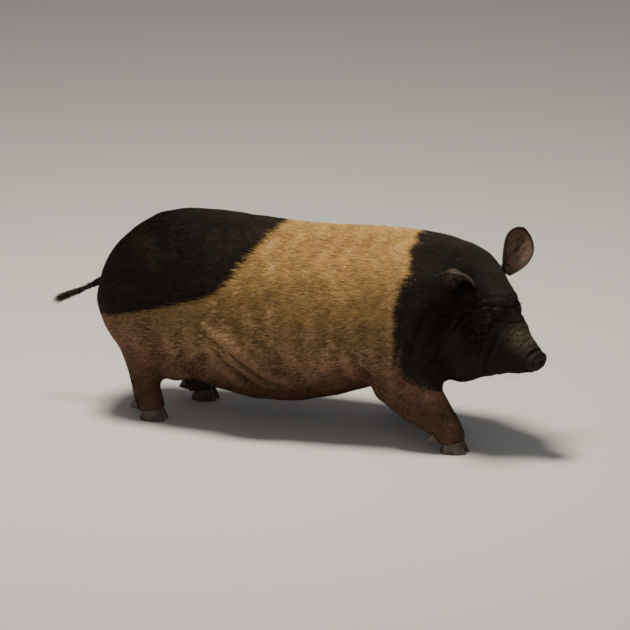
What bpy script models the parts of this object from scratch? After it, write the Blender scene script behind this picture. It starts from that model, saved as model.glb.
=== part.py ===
"""A pot bellied pig, a still life-size model of the animal walking with its head turned to its right.

+X is the way it walks, +Y its left side and +Z up, in metres. The soles stand on z = 0, below the
middle of the whole animal. The flesh is modelled whole and then parted by thin cuts.
"""

import math
import random

import bmesh
import bpy
from mathutils import Matrix, Vector
from mathutils.bvhtree import BVHTree

# Driving dimensions of the animal
TRUNK_LENGTH = 0.66
BACK_HEIGHT = 0.35
TRUNK_WIDTH = 0.27
HEAD_LENGTH = 0.165
EYEBALL_RADIUS = 0.0078
EAR_LENGTH = 0.072
EAR_WIDTH = 0.053
EAR_THICKNESS = 0.0032
TAIL_RADIUS = 0.0068
TUFT_LENGTH = 0.036
CLAW_LENGTH = 0.043
CLAW_WIDTH = 0.0205
CLAW_HEIGHT = 0.0195
DEWCLAW_LENGTH = 0.019

# Stance: where the trunk begins, and how the head is turned
RUMP_X = -0.435
HEAD_ROOT = Vector((0.215, -0.020, 0.215))
HEAD_YAW = math.radians(-22)
HEAD_PITCH = math.radians(12)

# Clearance between pieces that touch
GAP = 0.0003

# Fineness of the skin on the body and on the head
RING_POINTS = 28
BODY_VOXEL = 0.0065
BODY_SMOOTHING = 5
BODY_TRIANGLES = 5600
HEAD_VOXEL = 0.0036
HEAD_SMOOTHING = 16
HEAD_TRIANGLES = 2200

HEAD_FRAME = (
    Matrix.Translation(HEAD_ROOT)
    @ Matrix.Rotation(HEAD_YAW, 4, "Z")
    @ Matrix.Rotation(HEAD_PITCH, 4, "Y")
)
SIDES = {"right": -1, "left": 1}

# The trunk from the rump forward. Each section has its place along the trunk, its top and bottom and
# the height of its widest point as shares of the back's height, and its share of the full width.
TRUNK_SECTIONS = (
    (0.012, 0.688, 0.520, 0.600, 0.30),
    (0.034, 0.771, 0.480, 0.600, 0.48),
    (0.076, 0.867, 0.400, 0.580, 0.66),
    (0.144, 0.963, 0.300, 0.550, 0.80),
    (0.227, 1.003, 0.200, 0.514, 0.88),
    (0.326, 1.003, 0.143, 0.490, 0.94),
    (0.432, 0.988, 0.108, 0.470, 0.99),
    (0.538, 0.977, 0.112, 0.465, 1.00),
    (0.644, 0.982, 0.155, 0.475, 0.97),
    (0.750, 0.993, 0.225, 0.500, 0.92),
    (0.841, 0.990, 0.271, 0.520, 0.88),
    (0.917, 0.974, 0.306, 0.550, 0.81),
    (0.977, 0.940, 0.350, 0.580, 0.70),
)

# The skull and jaws from the nape forward, in head lengths from the head's root: how far forward,
# top, bottom, half width and height of the widest point.
HEAD_SECTIONS = (
    (-0.545, 0.640, -0.620, 0.533, 0.00),
    (-0.242, 0.712, -0.645, 0.527, -0.04),
    (0.000, 0.705, -0.625, 0.485, -0.06),
    (0.182, 0.620, -0.590, 0.424, -0.08),
    (0.364, 0.480, -0.540, 0.339, -0.10),
    (0.485, 0.345, -0.475, 0.279, -0.11),
    (0.606, 0.205, -0.400, 0.230, -0.12),
    (0.697, 0.130, -0.358, 0.210, -0.13),
    (0.788, 0.072, -0.320, 0.190, -0.138),
    (0.864, 0.022, -0.288, 0.172, -0.142),
    (0.909, 0.000, -0.262, 0.156, -0.142),
)

# Round masses of the head, in head lengths: middle and radii, one each side.
HEAD_MASSES = (
    ("jowl", (0.135, 0.240, -0.230), (0.430, 0.275, 0.365)),
    ("throat", (-0.150, 0.230, -0.300), (0.420, 0.300, 0.370)),
    ("cheek_pad", (0.365, 0.205, -0.215), (0.290, 0.165, 0.240)),
    ("cheekbone", (0.280, 0.190, 0.040), (0.270, 0.150, 0.230)),
    ("forehead", (0.320, 0.080, 0.305), (0.195, 0.155, 0.165)),
    ("brow", (0.385, 0.165, 0.225), (0.150, 0.105, 0.100)),
    ("muzzle_root", (0.490, 0.145, 0.010), (0.220, 0.110, 0.160)),
)

# The loose fold of skin between belly and thigh on each side: middle and radii
FLANK_FOLD = (Vector((-0.272, 0.072, 0.116)), Vector((0.055, 0.034, 0.047)))

# Each leg from inside the body down to the foot: the middle of each section as x, distance from the
# mid-plane and z, then the half thickness from front to back and from side to side.
FORELEG_REACHING = (
    (0.112, 0.066, 0.205, 0.080, 0.050),
    (0.117, 0.076, 0.150, 0.072, 0.046),
    (0.131, 0.084, 0.110, 0.061, 0.041),
    (0.163, 0.089, 0.078, 0.044, 0.035),
    (0.189, 0.091, 0.053, 0.032, 0.029),
    (0.205, 0.092, 0.036, 0.027, 0.024),
    (0.213, 0.093, 0.024, 0.0245, 0.0235),
    (0.215, 0.093, 0.004, 0.022, 0.022),
)
FORELEG_TRAILING = (
    (0.112, 0.066, 0.205, 0.080, 0.050),
    (0.108, 0.076, 0.150, 0.068, 0.046),
    (0.100, 0.082, 0.110, 0.048, 0.040),
    (0.095, 0.084, 0.078, 0.034, 0.032),
    (0.093, 0.085, 0.053, 0.028, 0.027),
    (0.092, 0.085, 0.036, 0.025, 0.023),
    (0.096, 0.085, 0.024, 0.0245, 0.0235),
    (0.098, 0.085, 0.004, 0.022, 0.022),
)
HIND_LEG = (
    (-0.330, 0.050, 0.230, 0.086, 0.056),
    (-0.334, 0.057, 0.195, 0.090, 0.056),
    (-0.333, 0.062, 0.160, 0.074, 0.050),
    (-0.330, 0.067, 0.122, 0.050, 0.040),
    (-0.332, 0.069, 0.091, 0.034, 0.030),
    (-0.331, 0.069, 0.056, 0.026, 0.023),
    (-0.327, 0.069, 0.036, 0.026, 0.023),
    (-0.322, 0.069, 0.024, 0.0245, 0.0235),
    (-0.320, 0.069, 0.004, 0.022, 0.022),
)
LEFT_HIND_LEAD = 0.045  # how far the left hind foot is ahead of the right one
HIP_HEIGHT = 0.230

# Where each leg is parted from the trunk: middle x and z, half width and half length of an ellipse
# seen from the side, its lean forward, and its distance from the mid-plane.
LEG_CUTS = {
    "leg_front_right": (0.165, 0.060, 0.058, 0.140, math.radians(35), 0.030),
    "leg_front_left": (0.103, 0.055, 0.058, 0.140, math.radians(-4), 0.030),
    "leg_hind_right": (-0.347, 0.050, 0.086, 0.175, math.radians(0), 0.018),
    "leg_hind_left": (-0.332, 0.050, 0.086, 0.175, math.radians(8), 0.018),
}

# The neck from inside the shoulders into the back of the head, and the cuts across it
NECK_START = Vector((0.09, 0, 0.225))
NECK_END = (-0.05, 0, -0.02)
NECK_RINGS = 5
NECK_WIDTH = 0.20
NECK_RISE = 0.108
NECK_FALL = 0.112
NECK_CUT = Vector((0.140, 0.0, 0.22))
NECK_CUT_YAW = math.radians(-7)
HEAD_CUT = -0.13  # in head lengths from the head's root
SNOUT_CUT = 0.66

# Eyes: a place on the head's axis beside them in head lengths, the way out to their middle, and the
# way each looks
EYE_FROM = (0.425, 0.0, 0.195)
EYE_ASIDE = Vector((0.10, 1.0, 0.02))
EYE_LOOK = Vector((0.50, 0.84, 0.12))
LID_THICKNESS = 0.0017
EYE_DEPTH = 0.0024  # how far the ball's front lies under the skin
LID_OPENING = (0.0064, 0.0036)

# Nose disc and nostrils
DISC_HALF_WIDTH = 0.0250
DISC_HALF_HEIGHT = 0.0188
DISC_THICKNESS = 0.012
DISC_RIM = 0.003
DISC_PLACE = (0.925, 0.0, -0.136)
DISC_TILT = math.radians(8)
NOSTRIL_APART = 0.0195
NOSTRIL_RADII = (0.0043, 0.0052)
NOSTRIL_DEPTH = 0.010

# Mouth: a line round the lower front of the snout, back to the corners below the eyes, as places
# forward and up in head lengths
MOUTH_FRONT = (0.898, -0.232)
MOUTH_CORNER = (0.620, -0.205)
MOUTH_SAG = 0.022
MOUTH_AIM = (math.radians(8), math.radians(88))  # the way out of the head at the front and the side
MOUTH_BEND = 2.4
MOUTH_REACH = 0.16
MOUTH_STEPS = 9
MOUTH_WIDTH = 0.0010
MOUTH_DEPTH = 0.0040
LIP_RADIUS = 0.0042
LIP_SINK = 0.72  # how deep the middle of the lips' roll lies, in its radius

# Ears: root on the head in head lengths, the way the ear points, the way its cup faces, how far the
# tip folds over in radians, and the ear's share of EAR_WIDTH
EARS = {
    "right": ((0.13, -0.265, 0.490), Vector((-0.15, -0.84, 0.52)), Vector((0.45, -0.45, -0.77)), 1.0, 1.0),
    "left": ((0.18, 0.285, 0.535), Vector((-0.20, 0.62, 0.90)), Vector((0.88, -0.75, -0.22)), 0.4, 1.06),
}
EAR_ROWS = 10
EAR_COLUMNS = 8
EAR_SUNK = 0.010  # how far the root reaches into the head
EAR_ROLL_ROOT = math.radians(65)
EAR_ROLL_TIP = math.radians(34)
EAR_WIDEST = 0.60  # where the ear is widest, as a share of its length
EAR_NARROWING = 0.72  # how much narrower its root is

# Tail: its route from inside the rump, and the locks of its tuft
TAIL_ROUTE = (
    (-0.400, 0.0, 0.232), (-0.425, 0.0, 0.220), (-0.447, 0.0, 0.206),
    (-0.468, -0.001, 0.195), (-0.486, -0.002, 0.187),
)
TAIL_SIDES = 10
TAIL_STEPS = 9
TAIL_TAPER = 0.62
TUFT_LOCKS = 9
TUFT_SEED = 5
LOCK_STEPS = 5
LOCK_WIDTH = 0.0034
LOCK_BULGE = 0.0045
LOCK_DROOP = 0.006

# Feet: the claws' places about the middle of the leg's end, and the sloping edge of hide above them
CLAW_SPREAD = 0.0108
CLAW_TURN = math.radians(4)
CLAW_SEGMENTS = 16
TOE_AHEAD = 0.0035
HOOF_EDGE_HEIGHT = 0.0155
HOOF_EDGE_SLOPE = math.radians(9)
DEWCLAW_BACK = 0.020
DEWCLAW_APART = 0.0115
DEWCLAW_UP = 0.030
DEWCLAW_PROUD = 0.0055
DEWCLAW_TILT = math.radians(125)

COLOURS = {
    "black_skin": (0.030, 0.026, 0.025),
    "cream_skin": (0.560, 0.420, 0.285),
    "pink_skin": (0.430, 0.265, 0.205),
    "horn": (0.105, 0.085, 0.075),
    "eye": (0.020, 0.012, 0.008),
}
ROUGHNESS = {"black_skin": 0.6, "cream_skin": 0.75, "pink_skin": 0.65, "horn": 0.45, "eye": 0.08}


def clear_scene():
    """Removes whatever the scene holds, and makes the collections of parts and of cutters."""
    for item in list(bpy.data.objects):
        bpy.data.objects.remove(item, do_unlink=True)
    for name in ("pot_bellied_pig", "cutters"):
        collection = bpy.data.collections.new(name)
        bpy.context.scene.collection.children.link(collection)


def add_object(name, shape, collection="pot_bellied_pig"):
    """Puts a finished bmesh into the scene as an object."""
    mesh = bpy.data.meshes.new(name)
    shape.to_mesh(mesh)
    shape.free()
    item = bpy.data.objects.new(name, mesh)
    bpy.data.collections[collection].objects.link(item)
    if collection == "cutters":
        item.hide_render = True
        item.display_type = "WIRE"
    return item


def bake(item):
    """Replaces an object's mesh by what its modifiers make of it."""
    bpy.context.view_layer.update()
    graph = bpy.context.evaluated_depsgraph_get()
    mesh = bpy.data.meshes.new_from_object(item.evaluated_get(graph))
    item.modifiers.clear()
    item.data = mesh


def modify(item, kind, **settings):
    """Adds one modifier and applies it."""
    modifier = item.modifiers.new(kind.lower(), kind)
    for setting, value in settings.items():
        setattr(modifier, setting, value)
    bake(item)


def combine(item, other, operation):
    """One exact Boolean of item with other."""
    modify(item, "BOOLEAN", object=other, operation=operation, solver="EXACT")


def drop(*items):
    for item in items:
        bpy.data.objects.remove(item, do_unlink=True)


def duplicate(item, name, collection="pot_bellied_pig"):
    shape = bmesh.new()
    shape.from_mesh(item.data)
    return add_object(name, shape, collection)


def grown(item, by=GAP):
    """A cutter that is item with its skin moved out by the clearance."""
    cutter = duplicate(item, item.name + "_grown", "cutters")
    modify(cutter, "DISPLACE", strength=by, mid_level=0.0)
    return cutter


def tidy_surface(item):
    """Merges specks, splits into triangles and keeps only the largest closed surface."""
    shape = bmesh.new()
    shape.from_mesh(item.data)
    bmesh.ops.remove_doubles(shape, verts=shape.verts, dist=0.00002)
    bmesh.ops.dissolve_degenerate(shape, edges=shape.edges, dist=0.00002)
    bmesh.ops.triangulate(shape, faces=shape.faces)
    left = set(shape.faces)
    islands = []
    while left:
        island, front = set(), [left.pop()]
        while front:
            face = front.pop()
            island.add(face)
            for edge in face.edges:
                for other in edge.link_faces:
                    if other in left:
                        left.remove(other)
                        front.append(other)
        islands.append(island)
    largest = max(islands, key=lambda island: sum(face.calc_area() for face in island))
    stray = [face for face in shape.faces if face not in largest]
    bmesh.ops.delete(shape, geom=stray, context="FACES")
    shape.to_mesh(item.data)
    shape.free()


def loft(name, rings, collection="cutters"):
    """A closed skin over rings of points that follow one another."""
    shape = bmesh.new()
    loops = [[shape.verts.new(point) for point in ring] for ring in rings]
    for near, far in zip(loops, loops[1:]):
        for i in range(len(near)):
            j = (i + 1) % len(near)
            shape.faces.new((near[i], near[j], far[j], far[i]))
    shape.faces.new(loops[0])
    shape.faces.new(loops[-1])
    bmesh.ops.recalc_face_normals(shape, faces=shape.faces)
    return add_object(name, shape, collection)


def section(centre, side, up, half_width, rise, drop_below, squareness=2.15):
    """An egg-shaped ring: half_width either side of centre, rise above it and drop_below under it."""
    ring = []
    for i in range(RING_POINTS):
        angle = math.tau * i / RING_POINTS
        across = math.copysign(abs(math.cos(angle)) ** (2 / squareness), math.cos(angle))
        along = math.copysign(abs(math.sin(angle)) ** (2 / squareness), math.sin(angle))
        height = rise if along > 0 else drop_below
        ring.append(centre + side * (half_width * across) + up * (height * along))
    return ring


def ellipsoid(name, middle, radii, frame=Matrix.Identity(4), segments=24):
    """A sphere stretched to three radii, in the given frame."""
    shape = bmesh.new()
    place = frame @ Matrix.Translation(middle) @ Matrix.Diagonal((*radii, 1))
    bmesh.ops.create_uvsphere(
        shape, u_segments=segments, v_segments=segments // 2, radius=1, matrix=place
    )
    return add_object(name, shape, "cutters")


def trunk():
    """Rump, loin, belly and chest as one loft."""
    rings = []
    for place, top, bottom, widest, width in TRUNK_SECTIONS:
        centre = Vector((RUMP_X + place * TRUNK_LENGTH, 0, widest * BACK_HEIGHT))
        rise = (top - widest) * BACK_HEIGHT
        fall = (widest - bottom) * BACK_HEIGHT
        side, up = Vector((0, 1, 0)), Vector((0, 0, 1))
        rings.append(section(centre, side, up, width * TRUNK_WIDTH / 2, rise, fall))
    return loft("trunk", rings)


def head_point(forward, left, up):
    """A place on the head, given in head lengths from its root."""
    return HEAD_FRAME @ (Vector((forward, left, up)) * HEAD_LENGTH)


def head_masses():
    """Skull, snout and jaws as one loft, with jowls, cheeks and brows as rounded masses."""
    turn = HEAD_FRAME.to_3x3()
    rings = []
    for forward, top, bottom, half_width, widest in HEAD_SECTIONS:
        centre = head_point(forward, 0, widest)
        rise = (top - widest) * HEAD_LENGTH
        fall = (widest - bottom) * HEAD_LENGTH
        side, up = turn @ Vector((0, 1, 0)), turn @ Vector((0, 0, 1))
        rings.append(section(centre, side, up, half_width * HEAD_LENGTH, rise, fall))
    pieces = [loft("skull", rings)]
    for name, middle, radii in HEAD_MASSES:
        for sign in SIDES.values():
            place = Vector((middle[0], sign * middle[1], middle[2])) * HEAD_LENGTH
            pieces.append(ellipsoid(name, place, Vector(radii) * HEAD_LENGTH, HEAD_FRAME))
    return pieces


def flank_folds():
    """The skin that hangs from the belly to the front of each thigh."""
    middle, radii = FLANK_FOLD
    folds = []
    for sign in SIDES.values():
        place = Vector((middle.x, sign * middle.y, middle.z))
        folds.append(ellipsoid("flank_fold", place, radii, Matrix.Identity(4)))
    return folds


def neck():
    """The thick short neck, from the shoulders into the back of the head."""
    end = head_point(*NECK_END)
    rings = []
    for i in range(NECK_RINGS):
        share = i / (NECK_RINGS - 1)
        centre = NECK_START.lerp(end, share)
        along = Vector((1, 0, 0)).lerp(HEAD_FRAME.to_3x3() @ Vector((1, 0, 0)), share).normalized()
        side = Vector((0, 0, 1)).cross(along).normalized()
        up = along.cross(side)
        half_width = NECK_WIDTH / 2 * (1 + 0.1 * math.sin(math.pi * share) - 0.1 * share)
        rings.append(section(centre, side, up, half_width, NECK_RISE, NECK_FALL))
    return loft("neck_mass", rings)


def leg_sections(name):
    """The sections of one leg in its stance, with y already on its side."""
    sign = SIDES[name.rsplit("_", 1)[1]]
    if name == "leg_front_right":
        table = FORELEG_REACHING
    elif name == "leg_front_left":
        table = FORELEG_TRAILING
    else:
        table = HIND_LEG
    rows = []
    for x, away, z, deep, wide in table:
        if name == "leg_hind_left":
            x += LEFT_HIND_LEAD * (1 - z / HIP_HEIGHT)
        rows.append((Vector((x, sign * away, z)), deep, wide))
    return rows


def leg_mass(name):
    """One leg as a tube of changing section, square to its own middle line."""
    rows = leg_sections(name)
    rings = []
    for i, (centre, deep, wide) in enumerate(rows):
        before, after = rows[max(i - 1, 0)][0], rows[min(i + 1, len(rows) - 1)][0]
        down = (after - before).normalized()
        side = Vector((0, 1, 0))
        front = down.cross(side).normalized()
        rings.append(section(centre, side, front, wide, deep, deep, 2.0))
    return loft(name + "_mass", rings)


def flesh(name, voxel, smoothing):
    """All the masses of the body in one smooth skin."""
    masses = [trunk(), neck(), *head_masses(), *flank_folds(), *(leg_mass(leg) for leg in LEG_CUTS)]
    shape = bmesh.new()
    for mass in masses:
        shape.from_mesh(mass.data)
    drop(*masses)
    whole = add_object(name, shape, "cutters")
    modify(whole, "REMESH", mode="VOXEL", voxel_size=voxel)
    modify(whole, "SMOOTH", factor=0.5, iterations=smoothing)
    return whole


def thin_out(item, triangles):
    """Collapses short edges until about this many triangles are left."""
    item.data.calc_loop_triangles()
    modify(item, "DECIMATE", ratio=min(1.0, triangles / len(item.data.loop_triangles)))


def leg_cutter(name, grow=0.0):
    """The ellipse-sided block that holds one leg, on its own side of the body."""
    x, z, half_width, half_length, lean, inner = LEG_CUTS[name]
    sign = SIDES[name.rsplit("_", 1)[1]]
    outer = TRUNK_WIDTH
    inner -= grow
    shape = bmesh.new()
    bmesh.ops.create_cone(
        shape, cap_ends=True, segments=40, radius1=1, radius2=1, depth=outer - inner,
        matrix=Matrix.Rotation(math.pi / 2, 4, "X"),
    )
    place = (
        Matrix.Translation((x, sign * (outer + inner) / 2, z))
        @ Matrix.Rotation(-lean, 4, "Y")
        @ Matrix.Diagonal((half_width + grow, 1, half_length + grow, 1))
    )
    bmesh.ops.transform(shape, matrix=place, verts=shape.verts)
    return add_object(name + "_block", shape, "cutters")


def half_space(point, direction, name):
    """A large block that holds everything ahead of a plane."""
    size = 2 * TRUNK_LENGTH
    turn = direction.to_track_quat("X", "Z").to_matrix().to_4x4()
    shape = bmesh.new()
    bmesh.ops.create_cube(
        shape, size=size, matrix=Matrix.Translation(point) @ turn @ Matrix.Translation((size / 2, 0, 0))
    )
    return add_object(name, shape, "cutters")


def cut_ahead(item, point, direction):
    """Keeps what is ahead of a plane."""
    block = half_space(point + direction * GAP / 2, direction, "ahead")
    combine(item, block, "INTERSECT")
    drop(block)


def cut_behind(item, point, direction):
    """Keeps what is behind a plane."""
    block = half_space(point - direction * GAP / 2, direction, "behind")
    combine(item, block, "DIFFERENCE")
    drop(block)


def part_body():
    """Legs, torso and neck, cut from one skin that is modelled whole."""
    whole = flesh("body_flesh", BODY_VOXEL, BODY_SMOOTHING)
    thin_out(whole, BODY_TRIANGLES)
    neck_way = Matrix.Rotation(NECK_CUT_YAW, 3, "Z") @ Vector((1, 0, 0))
    head_way = HEAD_FRAME.to_3x3() @ Vector((1, 0, 0))
    for name in LEG_CUTS:
        leg = duplicate(whole, name)
        block = leg_cutter(name)
        combine(leg, block, "INTERSECT")
        wider = leg_cutter(name, GAP)
        combine(whole, wider, "DIFFERENCE")
        drop(block, wider)
        tidy_surface(leg)
    torso = duplicate(whole, "torso")
    cut_behind(torso, NECK_CUT, neck_way)
    tidy_surface(torso)
    throat = duplicate(whole, "neck")
    cut_ahead(throat, NECK_CUT, neck_way)
    cut_behind(throat, head_point(HEAD_CUT, 0, 0), head_way)
    tidy_surface(throat)
    drop(whole)


def skin_finder(item):
    """Finds the skin from a place inside it, going out along a direction."""
    shape = bmesh.new()
    shape.from_mesh(item.data)
    tree = BVHTree.FromBMesh(shape)
    shape.free()

    def find(inside, direction):
        return tree.ray_cast(inside, direction.normalized())[0]

    return find


def eyes(head):
    """The two eyeballs, with the lids built on the head as a thin dome with an almond opening."""
    find = skin_finder(head)
    turn = HEAD_FRAME.to_3x3()
    for side, sign in SIDES.items():
        look = turn @ Vector((EYE_LOOK.x, sign * EYE_LOOK.y, EYE_LOOK.z)).normalized()
        aside = turn @ Vector((EYE_ASIDE.x, sign * EYE_ASIDE.y, EYE_ASIDE.z))
        skin = find(head_point(*EYE_FROM), aside)
        middle = skin - look * (EYEBALL_RADIUS + EYE_DEPTH - LID_THICKNESS)
        dome = ellipsoid("lids", middle, [EYEBALL_RADIUS + LID_THICKNESS] * 3, segments=20)
        combine(head, dome, "UNION")
        ball = ellipsoid("eye_" + side, middle, [EYEBALL_RADIUS] * 3, segments=16)
        socket = ellipsoid("socket", middle, [EYEBALL_RADIUS + GAP] * 3, segments=16)
        combine(head, socket, "DIFFERENCE")
        frame = look.to_track_quat("X", "Z").to_matrix().to_4x4()
        opening = ellipsoid(
            "opening", (EYEBALL_RADIUS, 0, 0), (0.006, *LID_OPENING),
            Matrix.Translation(middle) @ frame, 16,
        )
        combine(head, opening, "DIFFERENCE")
        drop(dome, socket, opening)
        bpy.data.collections["cutters"].objects.unlink(ball)
        bpy.data.collections["pot_bellied_pig"].objects.link(ball)
        ball.hide_render = False
        ball.display_type = "TEXTURED"


def nose_disc(head):
    """The flat round end of the snout with a rounded rim, and two nostrils sunk in it."""
    frame = Matrix.Translation(head_point(*DISC_PLACE)) @ HEAD_FRAME.to_3x3().to_4x4()
    frame = frame @ Matrix.Rotation(DISC_TILT, 4, "Y")
    shape = bmesh.new()
    bmesh.ops.create_cone(
        shape, cap_ends=True, segments=28, radius1=1, radius2=1, depth=DISC_THICKNESS,
        matrix=Matrix.Rotation(math.pi / 2, 4, "Y"),
    )
    stretch = Matrix.Diagonal((1, DISC_HALF_WIDTH, DISC_HALF_HEIGHT, 1))
    bmesh.ops.transform(shape, matrix=stretch, verts=shape.verts)
    rims = [edge for edge in shape.edges if len({round(v.co.x, 5) for v in edge.verts}) == 1]
    bmesh.ops.bevel(shape, geom=rims, offset=DISC_RIM, segments=2, profile=0.5, affect="EDGES")
    bmesh.ops.transform(shape, matrix=frame, verts=shape.verts)
    disc = add_object("disc", shape, "cutters")
    combine(head, disc, "UNION")
    drop(disc)
    for sign in SIDES.values():
        place = (DISC_THICKNESS / 2, sign * NOSTRIL_APART / 2, 0.001)
        hole = ellipsoid("nostril", place, (NOSTRIL_DEPTH, *NOSTRIL_RADII), frame, 14)
        combine(head, hole, "DIFFERENCE")
        drop(hole)


def mouth_line(head):
    """Places on the skin from one corner of the mouth round the front to the other, with their way out."""
    find = skin_finder(head)
    turn = HEAD_FRAME.to_3x3()
    half = []
    for i in range(MOUTH_STEPS):
        share = i / (MOUTH_STEPS - 1)
        forward = MOUTH_FRONT[0] + (MOUTH_CORNER[0] - MOUTH_FRONT[0]) * share
        sag = MOUTH_SAG * math.sin(math.pi * share)
        height = MOUTH_FRONT[1] + (MOUTH_CORNER[1] - MOUTH_FRONT[1]) * share - sag
        aim = MOUTH_AIM[0] + (MOUTH_AIM[1] - MOUTH_AIM[0]) * min(1.0, MOUTH_BEND * share)
        out = turn @ Vector((math.cos(aim), -math.sin(aim), 0))
        from_place = head_point(forward - MOUTH_REACH * math.cos(aim), 0, height)
        half.append((find(from_place, out), out))
    flip = HEAD_FRAME @ Matrix.Diagonal((1, -1, 1, 1)) @ HEAD_FRAME.inverted()
    mirror = [(flip @ place, flip.to_3x3() @ out) for place, out in half]
    return half[::-1] + mirror


def mouth(head):
    """Lips as a rounded ridge, parted by the thin line of the closed mouth."""
    line = mouth_line(head)
    curve = bpy.data.curves.new("lips", "CURVE")
    curve.dimensions = "3D"
    curve.bevel_depth = LIP_RADIUS
    curve.bevel_resolution = 2
    curve.use_fill_caps = True
    spline = curve.splines.new("POLY")
    spline.points.add(len(line) - 1)
    for i, (point, (place, out)) in enumerate(zip(spline.points, line)):
        taper = math.sin(math.pi * (i + 0.5) / len(line)) ** 0.5
        point.co = (*(place - out * LIP_RADIUS * LIP_SINK), 1)
        point.radius = taper
    ridge = bpy.data.objects.new("lips", curve)
    bpy.data.collections["cutters"].objects.link(ridge)
    bpy.context.view_layer.update()
    graph = bpy.context.evaluated_depsgraph_get()
    mesh = bpy.data.meshes.new_from_object(ridge.evaluated_get(graph))
    drop(ridge)
    shape = bmesh.new()
    shape.from_mesh(mesh)
    bmesh.ops.remove_doubles(shape, verts=shape.verts, dist=0.00005)
    bmesh.ops.recalc_face_normals(shape, faces=shape.faces)
    lips = add_object("lips", shape, "cutters")
    combine(head, lips, "UNION")
    shape = bmesh.new()
    up = HEAD_FRAME.to_3x3() @ Vector((0, 0, 1))
    rows = []
    for i, (place, out) in enumerate(line):
        depth = MOUTH_DEPTH * math.sin(math.pi * (i + 0.5) / len(line)) ** 0.5
        inner, outer = place - out * depth, place + out * LIP_RADIUS
        half = up * MOUTH_WIDTH / 2
        rows.append([shape.verts.new(p) for p in (inner - half, outer - half, outer + half, inner + half)])
    for near, far in zip(rows, rows[1:]):
        for i in range(4):
            j = (i + 1) % 4
            shape.faces.new((near[i], near[j], far[j], far[i]))
    shape.faces.new(rows[0])
    shape.faces.new(rows[-1])
    bmesh.ops.recalc_face_normals(shape, faces=shape.faces)
    slot = add_object("mouth_slot", shape, "cutters")
    combine(head, slot, "DIFFERENCE")
    drop(lips, slot)


def part_head():
    """The head from a finer skin, with lids, mouth, nose disc and nostrils, then the snout cut off it."""
    whole = flesh("head_flesh", HEAD_VOXEL, HEAD_SMOOTHING)
    head_way = HEAD_FRAME.to_3x3() @ Vector((1, 0, 0))
    wider = leg_cutter("leg_front_right", GAP)
    combine(whole, wider, "DIFFERENCE")
    head = duplicate(whole, "head")
    cut_ahead(head, head_point(HEAD_CUT, 0, 0), head_way)
    tidy_surface(head)
    drop(whole, wider)
    thin_out(head, HEAD_TRIANGLES)
    nose_disc(head)
    mouth(head)
    eyes(head)
    snout = duplicate(head, "snout")
    cut_ahead(snout, head_point(SNOUT_CUT, 0, 0), head_way)
    cut_behind(head, head_point(SNOUT_CUT, 0, 0), head_way)
    tidy_surface(snout)
    tidy_surface(head)


def ear(side):
    """A cupped leaf of skin, rolled at its root and open towards its rounded tip."""
    root, point_way, face_way, fold, width_share = EARS[side]
    turn = HEAD_FRAME.to_3x3()
    along = (turn @ point_way).normalized()
    facing = turn @ face_way
    facing = (facing - along * facing.dot(along)).normalized()
    across = along.cross(facing)
    shape = bmesh.new()
    middle = head_point(*root) - along * EAR_SUNK
    step = (EAR_LENGTH + EAR_SUNK) / EAR_ROWS
    grid = []
    for i in range(EAR_ROWS + 1):
        share = i / EAR_ROWS
        lean = fold * max(0.0, share - 0.45) ** 2 / 0.3
        way = along * math.cos(lean) + facing * math.sin(lean)
        normal = facing * math.cos(lean) - along * math.sin(lean)
        if share < EAR_WIDEST:
            outline = (1 - EAR_NARROWING * (1 - share / EAR_WIDEST) ** 2) ** 1.15
        else:
            outline = (1 - ((share - EAR_WIDEST) / (1.02 - EAR_WIDEST)) ** 2) ** 0.6
        half_width = EAR_WIDTH / 2 * width_share * outline
        roll = EAR_ROLL_ROOT * (1 - share) ** 1.2 + EAR_ROLL_TIP
        radius = half_width / math.sin(min(roll, math.pi / 2))
        row = []
        for j in range(EAR_COLUMNS + 1):
            angle = roll * (2 * j / EAR_COLUMNS - 1)
            offset = across * (radius * math.sin(angle)) + normal * (radius * (1 - math.cos(angle)))
            row.append(shape.verts.new(middle + offset))
        grid.append(row)
        middle = middle + way * step
    for near, far in zip(grid, grid[1:]):
        for j in range(EAR_COLUMNS):
            shape.faces.new((near[j], near[j + 1], far[j + 1], far[j]))
    bmesh.ops.triangulate(shape, faces=shape.faces)
    leaf = add_object("ear_" + side, shape)
    modify(leaf, "SOLIDIFY", thickness=EAR_THICKNESS, offset=0.0, use_even_offset=True)
    head = bpy.data.objects["head"]
    cutter = grown(head)
    combine(leaf, cutter, "DIFFERENCE")
    drop(cutter)
    tidy_surface(leaf)


def tail_point(share):
    """A place along the tail's middle line, by straight steps through its route."""
    place = share * (len(TAIL_ROUTE) - 1)
    index = min(int(place), len(TAIL_ROUTE) - 2)
    return Vector(TAIL_ROUTE[index]).lerp(Vector(TAIL_ROUTE[index + 1]), place - index)


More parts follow.
